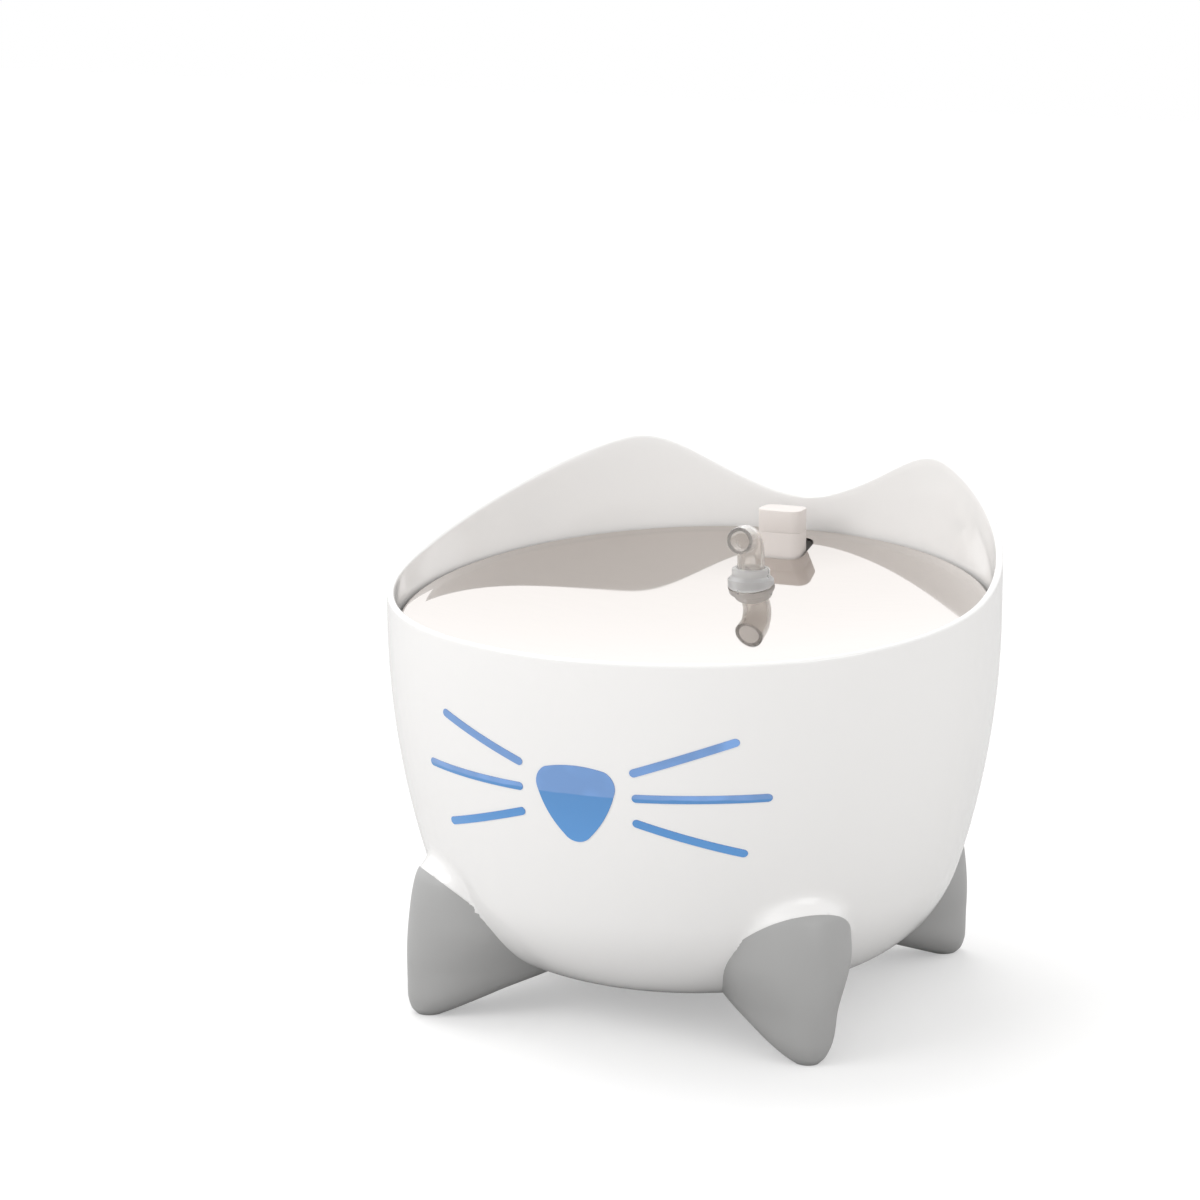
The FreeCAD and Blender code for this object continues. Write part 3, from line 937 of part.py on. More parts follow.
# Lead from the housing's top to the gland, held inside the fountain all the way.
top_z, gland_z, post_y = val(PUMP_TOP), val(GLAND_LEVEL), val(POST_BACK)
side_x, start_y, lean = val("lead_side"), val(PUMP_FRONT + " + lead_set"), val("lead_lean")
lead_points = [Vector(side_x, start_y, top_z), Vector(side_x, start_y, top_z + val("lead_rise")),
               Vector(side_x + 1.5, start_y + 19, top_z + 13.8),
               Vector(side_x - 0.5, start_y + 41, top_z + 12.8),
               Vector(2.0, post_y - 11, top_z + 16.3), Vector(0, post_y, top_z + 29.8),
               Vector(0.6, post_y + 0.3, gland_z - 40), Vector(0, post_y - lean, gland_z - 19),
               Vector(0, post_y - lean, gland_z),
               Vector(0, val(POST_BACK + " + post_depth / 2 + gland_length - lead_play"), gland_z)]


def lead_path(points):
    """Straight runs joined by tangent arcs, each as large as its two runs allow."""
    edges = []
    start = points[0]
    radii = []
    for before, here, after in zip(points, points[1:], points[2:]):
        come, go = here - before, after - here
        half_turn = come.getAngle(go) / 2
        cut = 0.45 * min(come.Length, go.Length)
        radius = cut / math.tan(half_turn)
        radii.append(round(radius, 1))
        first, last = here - come.normalize() * cut, here + go.normalize() * cut
        bisector = (first + last) * 0.5 - here
        middle = here + bisector.normalize() * (radius / math.cos(half_turn) - radius)
        edges += [Part.LineSegment(start, first).toShape(), Part.Arc(first, middle, last).toShape()]
        start = last
    edges.append(Part.LineSegment(start, points[-1]).toShape())
    return Part.Wire(edges), radii


lead_wire, lead_radii = lead_path(lead_points)
pump_lead = add("Part::Feature", "pump_lead")
pump_lead.Shape = pipe(val("lead_radius"), lead_wire)
print("lead length %.1f, arc radii %s" % (lead_wire.Length, lead_radii))
print("lead volume %.1f against %.1f" % (pump_lead.Shape.Volume,
                                         math.pi * val("lead_radius") ** 2 * lead_wire.Length))

NODES = ["body_shell", "foot_front_left", "foot_front_right", "foot_rear_left", "foot_rear_right",
         "face_liner",
         "nose_window", "whiskers_left", "whiskers_right", "cable_post", "post_cap", "cable_gland",
         "drinking_plate",
         "plate_carrier", "filter_tray", "filter_frame", "filter_carbon", "filter_foam", "spout",
         "spout_collar",
         "flow_tube", "tube_sleeve", "pump_housing", "motor_potting", "stator_core", "stator_coil",
         "pump_cover",
         "impeller", "rotor_magnet", "rotor_shaft", "shaft_bushes", "suction_cups", "pump_lead"]
doc.recompute()
failed = [o.Label for o in doc.Objects if "Invalid" in o.State or "Error" in o.State]
shapes = {node: doc.getObject(node).Shape for node in NODES}
failed += [node for node,
           shape in shapes.items() if shape.isNull() or not shape.isValid() or not shape.Solids]
if failed:
    raise RuntimeError("these did not build: " + ", ".join(failed))
os.makedirs("parts", exist_ok=True)
for node, shape in shapes.items():
    box = shape.BoundBox
    corners = [round(v, 1) for v in (box.XMin, box.YMin, box.ZMin, box.XMax, box.YMax, box.ZMax)]
    print("%-18s solids %d volume %.0f box %s" % (node, len(shape.Solids), shape.Volume, corners))
    shape.exportStep("parts/%s.step" % node)
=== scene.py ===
import math
import bpy
import numpy as np
from mathutils import Matrix, Vector


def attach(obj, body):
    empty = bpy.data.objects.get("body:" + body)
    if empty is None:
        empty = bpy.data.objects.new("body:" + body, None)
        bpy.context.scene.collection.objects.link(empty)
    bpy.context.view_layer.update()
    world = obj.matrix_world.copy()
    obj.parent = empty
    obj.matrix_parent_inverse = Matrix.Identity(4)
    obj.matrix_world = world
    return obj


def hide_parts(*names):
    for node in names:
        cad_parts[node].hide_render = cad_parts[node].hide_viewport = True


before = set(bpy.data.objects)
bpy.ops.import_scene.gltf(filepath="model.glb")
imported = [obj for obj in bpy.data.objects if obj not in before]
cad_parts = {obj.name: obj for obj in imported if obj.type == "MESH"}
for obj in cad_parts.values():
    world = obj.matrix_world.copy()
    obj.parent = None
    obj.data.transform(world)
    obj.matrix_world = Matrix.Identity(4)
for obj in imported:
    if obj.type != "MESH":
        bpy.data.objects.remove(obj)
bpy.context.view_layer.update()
print("frame loaded:", len(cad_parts), "nodes")


# tools for modelling

closeBy = 1e-6  # points nearer than this count as one


def clearSelection():
    if bpy.context.object and bpy.context.object.mode != "OBJECT":
        bpy.ops.object.mode_set(mode="OBJECT")
    bpy.ops.object.select_all(action="DESELECT")


def pick(obj):
    clearSelection()
    obj.select_set(True)
    bpy.context.view_layer.objects.active = obj
    return obj


def tidyMesh(obj, smoothAngle=35):
    # doubles merged, faces turned outwards, sharp edges kept sharp
    pick(obj)
    bpy.ops.object.mode_set(mode="EDIT")
    bpy.ops.mesh.select_all(action="SELECT")
    bpy.ops.mesh.remove_doubles(threshold=closeBy)
    bpy.ops.mesh.dissolve_degenerate(threshold=closeBy)
    bpy.ops.mesh.normals_make_consistent(inside=False)
    bpy.ops.object.mode_set(mode="OBJECT")
    bpy.ops.object.shade_smooth_by_angle(angle=math.radians(smoothAngle))
    return obj


def loopOf(name, points, closed=True):
    # a circle of as many points, laid along an outline
    clearSelection()
    bpy.ops.mesh.primitive_circle_add(vertices=len(points), fill_type="NOTHING")
    obj = bpy.context.object
    obj.name = name
    for vertex, point in zip(obj.data.vertices, points):
        vertex.co = point
    if not closed:
        last = len(points) - 1
        bpy.ops.object.mode_set(mode="EDIT")
        bpy.ops.mesh.select_all(action="DESELECT")
        bpy.ops.object.mode_set(mode="OBJECT")
        for edge in obj.data.edges:
            edge.select = set(edge.vertices) == {0, last}
        bpy.ops.object.mode_set(mode="EDIT")
        bpy.ops.mesh.delete(type="EDGE")
        bpy.ops.object.mode_set(mode="OBJECT")
    return obj


def spun(name, outline, steps=96, closed=True, centre=(0, 0, 0), smoothAngle=35):
    # an outline of radius and height turned about an upright axis
    obj = loopOf(name, [(centre[0] + r, centre[1], centre[2] + z) for r, z in outline], closed)
    pick(obj)
    bpy.ops.object.mode_set(mode="EDIT")
    bpy.ops.mesh.select_all(action="SELECT")
    bpy.ops.mesh.spin(steps=steps, angle=2 * math.pi, center=centre, axis=(0, 0, 1))
    bpy.ops.object.mode_set(mode="OBJECT")
    return tidyMesh(obj, smoothAngle)


def pulled(name, points, depth):
    # a filled outline, pulled through along a vector
    obj = loopOf(name, points)
    pick(obj)
    bpy.ops.object.mode_set(mode="EDIT")
    bpy.ops.mesh.select_all(action="SELECT")
    bpy.ops.mesh.edge_face_add()
    bpy.ops.mesh.extrude_region_move(TRANSFORM_OT_translate={"value": depth})
    bpy.ops.object.mode_set(mode="OBJECT")
    return obj


def prism(name, points, depthStart, depthEnd):
    # an outline in X and Z, pulled through along Y
    return tidyMesh(pulled(name, [(x, depthStart, z) for x, z in points], (0, depthEnd - depthStart, 0)))


def moveMesh(obj, matrix):
    obj.data.transform(matrix)
    obj.data.update()
    return obj


def modified(obj, kind, **settings):
    pick(obj)
    mod = obj.modifiers.new(kind.title(), kind)
    for key, value in settings.items():
        setattr(mod, key, value)
    bpy.ops.object.modifier_apply(modifier=mod.name)
    return obj


def combine(obj, cutter, operation="DIFFERENCE"):
    modified(obj, "BOOLEAN", object=cutter, operation=operation, solver="EXACT")
    bpy.data.objects.remove(cutter, do_unlink=True)
    return obj


def softenEdges(obj, width, segments=2, angle=50, smoothAngle=40):
    modified(obj, "BEVEL", width=width, segments=segments, limit_method="ANGLE",
             angle_limit=math.radians(angle), harden_normals=False, miter_outer="MITER_ARC")
    pick(obj)
    bpy.ops.object.shade_smooth_by_angle(angle=math.radians(smoothAngle))
    return obj


def bisected(obj, point, normal):
    # what lies on the side that the normal points to is cut away
    pick(obj)
    bpy.ops.object.mode_set(mode="EDIT")
    bpy.ops.mesh.select_all(action="SELECT")
    bpy.ops.mesh.bisect(plane_co=point, plane_no=normal, use_fill=True, clear_outer=True)
    bpy.ops.object.mode_set(mode="OBJECT")
    return obj


def joined(name, pieces):
    clearSelection()
    for piece in pieces:
        piece.select_set(True)
    bpy.context.view_layer.objects.active = pieces[0]
    bpy.ops.object.join()
    pieces[0].name = name
    return pieces[0]


def finishPiece(obj, material, body, nodes):
    obj.data.materials.clear()
    obj.data.materials.append(material)
    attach(obj, body)
    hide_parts(*nodes)
    print("piece:", obj.name, len(obj.data.polygons), "faces")


# materials

def newMaterial(name):
    mat = bpy.data.materials.new(name)
    mat.use_nodes = True
    return mat, mat.node_tree, mat.node_tree.nodes["Principled BSDF"]


def objectCoords(tree):
    return tree.nodes.new("ShaderNodeTexCoord").outputs["Object"]


def noise(tree, scale, detail=3.0, roughness=0.55):
    node = tree.nodes.new("ShaderNodeTexNoise")
    node.inputs["Scale"].default_value = scale
    node.inputs["Detail"].default_value = detail
    node.inputs["Roughness"].default_value = roughness
    tree.links.new(objectCoords(tree), node.inputs["Vector"])
    return node.outputs["Fac"]


def spread(tree, source, low, high, fromLow=0.3, fromHigh=0.7):
    node = tree.nodes.new("ShaderNodeMapRange")
    for key, value in (("From Min", fromLow), ("From Max", fromHigh), ("To Min", low), ("To Max", high)):
        node.inputs[key].default_value = value
    tree.links.new(source, node.inputs["Value"])
    return node.outputs["Result"]


def mixColour(tree, factor, first, second):
    node = tree.nodes.new("ShaderNodeMix")
    node.data_type = "RGBA"
    tree.links.new(factor, node.inputs["Factor"])
    for socket, colour in ((node.inputs[6], first), (node.inputs[7], second)):
        if isinstance(colour, tuple):
            socket.default_value = (*colour, 1)
        else:
            tree.links.new(colour, socket)
    return node.outputs[2]


def bumpFrom(tree, shader, source, strength, distance):
    node = tree.nodes.new("ShaderNodeBump")
    node.inputs["Strength"].default_value = strength
    node.inputs["Distance"].default_value = distance
    tree.links.new(source, node.inputs["Height"])
    tree.links.new(node.outputs["Normal"], shader.inputs["Normal"])


def darker(colour, share):
    return tuple(c * (1 - share) for c in colour)


def paint(tree, shader, factor, first, second):
    tree.links.new(mixColour(tree, factor, first, second), shader.inputs["Base Color"])


def unevenGloss(tree, shader, roughness, scale, low, high):
    # roughness that wanders between two shares of its value, in patches of this scale
    wander = spread(tree, noise(tree, scale), roughness * low, roughness * high)
    tree.links.new(wander, shader.inputs["Roughness"])


def coated(shader, weight, roughness):
    shader.inputs["Coat Weight"].default_value = weight
    shader.inputs["Coat Roughness"].default_value = roughness


# scales of the patches, shares of tone and gloss, and strengths of the bumps
moulded = {"patches": 14.0, "gloss": (60.0, 0.85, 1.15), "bump": 0.35, "coatRoughness": 0.06}
seeThrough = {"patches": 40.0, "tone": 0.03, "gloss": (90.0, 0.7, 1.3)}
ferrite = {"grain": 400.0, "tone": 0.2, "gloss": (120.0, 0.8, 1.2)}
ridges = {"distortion": 0.4, "bump": 0.6, "depth": 0.0002}
pores = {"bump": 0.9, "depth": 0.0006}


def plastic(name, colour, roughness, grain=900.0, depth=0.00002, tone=0.03, coat=0.0):
    # moulded plastic: slow change of tone, fine grain, gloss that isn't quite even
    mat, tree, shader = newMaterial(name)
    paint(tree, shader, noise(tree, moulded["patches"]), darker(colour, tone), colour)
    unevenGloss(tree, shader, roughness, *moulded["gloss"])
    bumpFrom(tree, shader, noise(tree, grain), moulded["bump"], depth)
    coated(shader, coat, moulded["coatRoughness"])
    return mat


def clearPlastic(name, colour, roughness, ior=1.46, transmission=1.0):
    mat, tree, shader = newMaterial(name)
    paint(tree, shader, noise(tree, seeThrough["patches"]), darker(colour, seeThrough["tone"]), colour)
    unevenGloss(tree, shader, roughness, *seeThrough["gloss"])
    shader.inputs["Transmission Weight"].default_value = transmission
    shader.inputs["IOR"].default_value = ior
    return mat


def metal(name, colour, roughness):
    mat, tree, shader = newMaterial(name)
    paint(tree, shader, noise(tree, ferrite["grain"]), darker(colour, ferrite["tone"]), colour)
    unevenGloss(tree, shader, roughness, *ferrite["gloss"])
    shader.inputs["Metallic"].default_value = 1.0
    return mat


def ridged(name, colour, valleyShade, scale, roughness, along):
    # windings and laminations: fine ridges across one direction, with painted shade in the valleys between
    # them
    mat, tree, shader = newMaterial(name)
    wave = tree.nodes.new("ShaderNodeTexWave")
    wave.bands_direction = along
    wave.inputs["Scale"].default_value = scale
    wave.inputs["Distortion"].default_value = ridges["distortion"]
    tree.links.new(objectCoords(tree), wave.inputs["Vector"])
    # painted shade: the valleys between the ridges take the darker colour
    paint(tree, shader, wave.outputs["Fac"], valleyShade, colour)
    bumpFrom(tree, shader, wave.outputs["Fac"], ridges["bump"], ridges["depth"])
    shader.inputs["Roughness"].default_value = roughness
    shader.inputs["Metallic"].default_value = 1.0
    return mat


def cellular(name, colour, pitShade, scale, roughness):
    # open foam and granules, with painted shade in the pits between the cells
    mat, tree, shader = newMaterial(name)
    cells = tree.nodes.new("ShaderNodeTexVoronoi")
    cells.inputs["Scale"].default_value = scale
    tree.links.new(objectCoords(tree), cells.inputs["Vector"])
    # painted shade: the pits between the cells take the darker colour
    paint(tree, shader, cells.outputs["Distance"], pitShade, colour)
    bumpFrom(tree, shader, cells.outputs["Distance"], pores["bump"], pores["depth"])
    shader.inputs["Roughness"].default_value = roughness
    return mat


window = {
    # edge: painted shade for the rims of the inserts, standing for the groove line round them
    "above": (0.17, 0.325, 0.64), "below": (0.088, 0.275, 0.60), "edge": (0.025, 0.11, 0.38),
    "rimShadeReach": 0.985,  # a face turned further from the wall than this cosine takes the painted rim shade
    "waterLine": 0.1032, "lineFrom": 0.0004, "lineTo": 0.0010, "ripple": 0.0012, "rippleScale": 75.0,
    "sheenScale": 60.0, "sheenFrom": 0.45, "sheenTo": 0.7, "sheenShare": 1.25,
    "footShare": 1.15, "footDrop": 0.02,  # the lower colour brightens by this share, this far down
    "roughness": 0.14, "gloss": (120.0, 0.8, 1.2), "coat": 0.4, "coatRoughness": 0.05,
}


def windowMaterial():
    # tinted window: paler over the water line, deeper under it, with a fine ripple between
    mat, tree, shader = newMaterial("window tint")
    place = tree.nodes.new("ShaderNodeSeparateXYZ")
    tree.links.new(objectCoords(tree), place.inputs[0])
    wobble = tree.nodes.new("ShaderNodeMath")
    wobble.operation = "MULTIPLY_ADD"
    wobble.inputs[1].default_value = window["ripple"]
    tree.links.new(noise(tree, window["rippleScale"], 2.0), wobble.inputs[0])
    tree.links.new(place.outputs["Z"], wobble.inputs[2])
    line = window["waterLine"]
    side = spread(tree, wobble.outputs[0], 0.0, 1.0, line + window["lineFrom"], line + window["lineTo"])
    patches = noise(tree, window["sheenScale"], 1.0)
    sheen = spread(tree, patches, 0.0, 1.0, window["sheenFrom"], window["sheenTo"])
    pale = tuple(min(1.0, c * window["sheenShare"]) for c in window["above"])
    upper = mixColour(tree, sheen, window["above"], pale)
    depth = spread(tree, place.outputs["Z"], 0.0, 1.0, line - window["footDrop"], line)
    foot = tuple(c * window["footShare"] for c in window["below"])
    lower = mixColour(tree, depth, foot, window["below"])
    paint(tree, shader, side, lower, upper)
    unevenGloss(tree, shader, window["roughness"], *window["gloss"])
    coated(shader, window["coat"], window["coatRoughness"])
    return mat


steel = {
    "colour": (0.59, 0.55, 0.52), "tone": 0.04, "roughness": 0.03, "gloss": (24.0, 0.7, 1.6), "lean": -0.09,
    "grainAlong": 18.0, "grainAcross": 420.0, "grainScale": 4.0, "grainDetail": 4.0,
}


def steelMaterial():
    # polished sheet: a mirror with faint drawn lines and wipe marks
    mat, tree, shader = newMaterial("polished steel")
    stretch = tree.nodes.new("ShaderNodeMapping")
    stretch.inputs["Scale"].default_value = (steel["grainAlong"], steel["grainAcross"], steel["grainAlong"])
    tree.links.new(objectCoords(tree), stretch.inputs["Vector"])
    lines = tree.nodes.new("ShaderNodeTexNoise")
    lines.inputs["Scale"].default_value = steel["grainScale"]
    lines.inputs["Detail"].default_value = steel["grainDetail"]
    tree.links.new(stretch.outputs["Vector"], lines.inputs["Vector"])
    paint(tree, shader, lines.outputs["Fac"], darker(steel["colour"], steel["tone"]), steel["colour"])
    unevenGloss(tree, shader, steel["roughness"], *steel["gloss"])
    shader.inputs["Metallic"].default_value = 1.0
    # the normals lean forward by about 5 degrees, so the reflection is that of a deeper pressing
    surface = tree.nodes.new("ShaderNodeNewGeometry")
    lean = tree.nodes.new("ShaderNodeVectorMath")
    lean.inputs[1].default_value = (0, steel["lean"], 0)
    tree.links.new(surface.outputs["Normal"], lean.inputs[0])
    unit = tree.nodes.new("ShaderNodeVectorMath")
    unit.operation = "NORMALIZE"
    tree.links.new(lean.outputs[0], unit.inputs[0])
    tree.links.new(unit.outputs[0], shader.inputs["Normal"])
    return mat


mats = {
    "bowl": plastic("glossy white", (0.90, 0.893, 0.885), 0.16, grain=260.0, depth=0.000006, tone=0.012,
                    coat=0.35),
    "boot": plastic("boot grey", (0.395, 0.395, 0.392), 0.42, grain=1500.0, depth=0.00003, tone=0.05),
    "window": windowMaterial(),
    # the inserts' rims: painted shade of the groove line round each insert
    "windowRimShade": plastic("window rim shade", window["edge"], 0.2, coat=0.4),
    "steel": steelMaterial(),
    "post": plastic("post white", (0.76, 0.71, 0.68), 0.38, grain=1200.0, tone=0.02),
    "carrier": plastic("carrier white", (0.76, 0.76, 0.755), 0.42, grain=1000.0),
    "spout": clearPlastic("clear spout", (0.93, 0.905, 0.88), 0.035, 1.33, transmission=0.84),
    "collar": clearPlastic("frosted collar", (0.93, 0.93, 0.93), 0.32, transmission=0.7),
    "tube": clearPlastic("clear tube", (0.9, 0.92, 0.93), 0.12, 1.42),
    "liner": clearPlastic("clear liner", (0.9, 0.93, 0.95), 0.08),
    "seal": plastic("black seal", (0.03, 0.03, 0.03), 0.62, grain=700.0, depth=0.00004, tone=0.12),
    "pump": plastic("pump black", (0.028, 0.028, 0.031), 0.45, grain=1400.0, depth=0.00006, tone=0.1),
    "resin": plastic("potting resin", (0.012, 0.012, 0.013), 0.12, grain=120.0, depth=0.0001),
    "core": ridged("stator laminations", (0.42, 0.42, 0.43), (0.12, 0.12, 0.13), 260.0, 0.35, "Y"),
    "coil": ridged("copper winding", (0.72, 0.3, 0.12), (0.25, 0.08, 0.03), 420.0, 0.3, "X"),
    "impeller": plastic("impeller blue", (0.06, 0.22, 0.55), 0.25, coat=0.2),
    "magnet": metal("ferrite magnet", (0.1, 0.1, 0.11), 0.5),
    "shaft": plastic("ceramic shaft", (0.82, 0.82, 0.78), 0.18, coat=0.3),
    "cup": clearPlastic("suction cup", (0.8, 0.83, 0.85), 0.3, 1.42, transmission=0.6),
    "lead": plastic("lead white", (0.7, 0.7, 0.7), 0.6, grain=700.0, depth=0.00004, tone=0.08),
    "foam": cellular("filter foam", (0.62, 0.72, 0.84), (0.14, 0.22, 0.34), 900.0, 0.9),
    "carbon": cellular("carbon granules", (0.06, 0.06, 0.06), (0.006, 0.006, 0.006), 620.0, 0.75),
    "cartridge": plastic("cartridge white", (0.78, 0.79, 0.8), 0.4),
}
print("materials ready:", len(mats))


# camera: placed before anything is modelled, at the photo's angle

camera = {"distance": 1.757, "azimuth": 22.11, "elevation": 14.36, "aim": 0.090, "turnAzimuth": 23.33,
          "turnElevation": 12.37, "lens": 135.96, "sensor": 36.0, "clipStart": 0.1, "clipEnd": 30.0}


def direction(azimuth, elevation):
    a, e = math.radians(azimuth), math.radians(elevation)
    return Vector((math.sin(a) * math.cos(e), -math.cos(a) * math.cos(e), math.sin(e)))


def addCamera():
    clearSelection()
    bpy.ops.object.camera_add()
    cam = bpy.context.object
    cam.name = "photoCamera"
    cam.data.lens = camera["lens"]
    cam.data.sensor_width = camera["sensor"]
    cam.data.clip_start = camera["clipStart"]
    cam.data.clip_end = camera["clipEnd"]
    a = math.radians(camera["turnAzimuth"])
    back = direction(camera["turnAzimuth"], camera["turnElevation"])
    right = Vector((math.cos(a), math.sin(a), 0))
    up = back.cross(right)
    away = direction(camera["azimuth"], camera["elevation"]) * camera["distance"]
    turn = Matrix((right, up, back)).transposed().to_4x4()
    cam.matrix_world = Matrix.Translation(away + Vector((0, 0, camera["aim"]))) @ turn
    bpy.context.scene.camera = cam


addCamera()
print("camera placed")


# bowl: outline of three arcs, ear-shaped rim, shoulders over the boots

bowl = {
    "rimRadius": 0.118, "wall": 0.0028, "baseRadius": 0.036, "baseLevel": 0.0105,
    "bellyRadius": 0.094, "knuckleRadius": 0.055, "sideRadius": 0.330, "sideTop": 0.150,
    "columns": 420, "rows": 108, "innerRows": 40, "upperRows": 24, "blendLevel": 0.120, "lip": 0.00125,
    "lipSteps": 8, "rimStart": (1.0, 0.01), "rimEnd": (0.2425, -0.9701), "rimSamples": 1600,
    "cutterColumns": 240, "cutterRows": 70, "cutterUpperRows": 6,
}
rimPoints = [  # place behind the axis and rim height, front to back
    (-0.120, 0.1545), (-0.078, 0.1555), (-0.040, 0.1582), (0.0, 0.163), (0.0295, 0.1699), (0.059, 0.180),
    (0.091, 0.1942), (0.099, 0.1965), (0.1135, 0.1829), (0.1195, 0.168),
]


def bowlArcs(inset):
    belly = Vector((bowl["baseRadius"], bowl["baseLevel"] + bowl["bellyRadius"]))
    flank = Vector((bowl["rimRadius"] - bowl["sideRadius"], bowl["sideTop"]))
    radii = [bowl[k] - inset for k in ("bellyRadius", "knuckleRadius", "sideRadius")]
    reachA, reachB = radii[0] - radii[1], radii[2] - radii[1]
    apart = flank - belly
    along = (reachA ** 2 - reachB ** 2 + apart.length ** 2) / (2 * apart.length)
    across = math.sqrt(reachA ** 2 - along ** 2)
    unit = apart.normalized()
    side = Vector((-unit.y, unit.x))
    knuckle = min((belly + unit * along + side * s for s in (across, -across)), key=lambda p: p.y)
    turnLow = belly + (knuckle - belly).normalized() * radii[0]
    turnHigh = flank + (knuckle - flank).normalized() * radii[2]
    return belly, knuckle, flank, radii, turnLow, turnHigh


arcs = {inset: bowlArcs(inset) for inset in (0.0, bowl["wall"])}


def bowlRadius(z, inset=0.0):
    if z >= bowl["sideTop"]:
        return bowl["rimRadius"] - inset
    belly, knuckle, flank, radii, turnLow, turnHigh = arcs[inset]
    if z >= turnHigh.y:
        centre, r = flank, radii[2]
    elif z >= turnLow.y:
        centre, r = knuckle, radii[1]
    else:
        centre, r = belly, radii[0]
    return centre.x + math.sqrt(max(r * r - (z - centre.y) ** 2, 0.0))


def bowlOutline(inset, count):
    # from the axis out along the bottom and up to where the rim's own rows start
    belly, knuckle, flank, radii, turnLow, turnHigh = arcs[inset]
    start = Vector((bowl["baseRadius"], bowl["baseLevel"] + inset))
    runs = []
    for centre, radius, a, b in ((belly, radii[0], start, turnLow), (knuckle, radii[1], turnLow, turnHigh)):
        angles = [math.atan2((p - centre).y, (p - centre).x) for p in (a, b)]
        runs.append((centre, radius, *angles))
    highAngle = math.asin((bowl["blendLevel"] - flank.y) / radii[2])
    runs.append((flank, radii[2], math.atan2((turnHigh - flank).y, (turnHigh - flank).x), highAngle))
    lengths = [bowl["baseRadius"]] + [abs(r[3] - r[2]) * r[1] for r in runs]
    points = []
    for number, length in enumerate(lengths):
        steps = max(4, round(count * length / sum(lengths)))
        for i in range(steps):
            t = i / steps
            if number == 0:
                points.append((bowl["baseRadius"] * t, start.y))
            else:
                centre, radius, a0, a1 = runs[number - 1]
                a = a0 + (a1 - a0) * t
                points.append((centre.x + radius * math.cos(a), centre.y + radius * math.sin(a)))
    points.append((bowlRadius(bowl["blendLevel"], inset), bowl["blendLevel"]))
    return points


def rimLine():
    # smooth curve through the rim's places
    p = np.array(rimPoints)
    t = np.concatenate([[0], np.cumsum(np.hypot(*np.diff(p, axis=0).T))])
    n = len(t)
    ends = (bowl["rimStart"], bowl["rimEnd"])
    s = np.linspace(0, t[-1], bowl["rimSamples"])
    k = np.clip(np.searchsorted(t, s) - 1, 0, n - 2)
    h = t[k + 1] - t[k]
    u = (s - t[k]) / h
    line = []
    for axis in range(2):
        a, b = np.zeros((n, n)), np.zeros(n)
        a[0, 0] = a[-1, -1] = 1
        b[0], b[-1] = ends[0][axis], ends[1][axis]
        for i in range(1, n - 1):
            h0, h1 = t[i] - t[i - 1], t[i + 1] - t[i]
            a[i, i - 1], a[i, i], a[i, i + 1] = h1, 2 * (h0 + h1), h0
            b[i] = 3 * (h1 * (p[i, axis] - p[i - 1, axis]) / h0 + h0 * (p[i + 1, axis] - p[i, axis]) / h1)
        slopes = np.linalg.solve(a, b)
        line.append((2 * u ** 3 - 3 * u ** 2 + 1) * p[k, axis] + (u ** 3 - 2 * u ** 2 + u) * h * slopes[k]
                    + (3 * u ** 2 - 2 * u ** 3) * p[k + 1, axis] + (u ** 3 - u ** 2) * h * slopes[k + 1])
    order = np.argsort(line[0])
    return line[0][order], line[1][order]


rimReach, rimHeight = rimLine()


def rimAt(y):
    return float(np.interp(y, rimReach, rimHeight))


# legs: level, outer reach, inner reach and half width, from the toe up

leg = {
    "sections": [(0.0, 0.114, 0.104, 0.0045), (0.0025, 0.1162, 0.0965, 0.008), (0.008, 0.1174, 0.080, 0.013),
                 (0.020, 0.1175, 0.045, 0.0198), (0.038, 0.116, 0.043, 0.0265),
                 (0.053, 0.1132, 0.046, 0.0255), (0.068, 0.099, 0.052, 0.019)],
    "jointReach": 0.112, "jointLevel": 0.0575, "slope": math.radians(40), "columns": 80, "rows": 64,
    "crowding": 1.35, "firstRing": 0.0006, "nextRing": 0.001, "soften": 0.0005,
    "turns": {"foot_front_left": -135, "foot_front_right": -45, "foot_rear_right": 45, "foot_rear_left": 135},
    "shoulderInset": 0.00035, "tuck": 0.0026, "rise": 0.006, "sink": 0.0006, "fade": 0.002, "blend": 0.004,
    "blendShare": 0.25, "shoulderSpread": 0.55, "shoulderLow": 0.019, "shoulderTop": 0.0675,
}


def throughPoints(xs, ys, where):
    # smooth curve through a few values, with no overshoot
    d = [(ys[i + 1] - ys[i]) / (xs[i + 1] - xs[i]) for i in range(len(xs) - 1)]
    m = [d[0]] + [2 * a * b / (a + b) if a * b > 0 else 0.0 for a, b in zip(d, d[1:])] + [d[-1]]
    k = min(max(sum(1 for x in xs if x < where) - 1, 0), len(xs) - 2)
    h = xs[k + 1] - xs[k]
    u = (where - xs[k]) / h
    return ((2 * u ** 3 - 3 * u ** 2 + 1) * ys[k] + (u ** 3 - 2 * u ** 2 + u) * h * m[k]
            + (3 * u ** 2 - 2 * u ** 3) * ys[k + 1] + (u ** 3 - u ** 2) * h * m[k + 1])


def legSection(z):
    levels = [s[0] for s in leg["sections"]]
    outer, inner, half = (throughPoints(levels, [s[i] for s in leg["sections"]], z) for i in (1, 2, 3))
    return (outer + inner) / 2, (outer - inner) / 2, half


def legReach(angle, section):
    # distance of the leg's surface from the bowl's axis, in a direction turned from the leg's own
    centre, a, b = section
    c, s = math.cos(angle), math.sin(angle)
    qa = (c / a) ** 2 + (s / b) ** 2
    qb = -2 * centre * c / a ** 2
    disc = qb * qb - 4 * qa * ((centre / a) ** 2 - 1)
    return (-qb + math.sqrt(disc)) / (2 * qa) if disc > 0 else 0.0


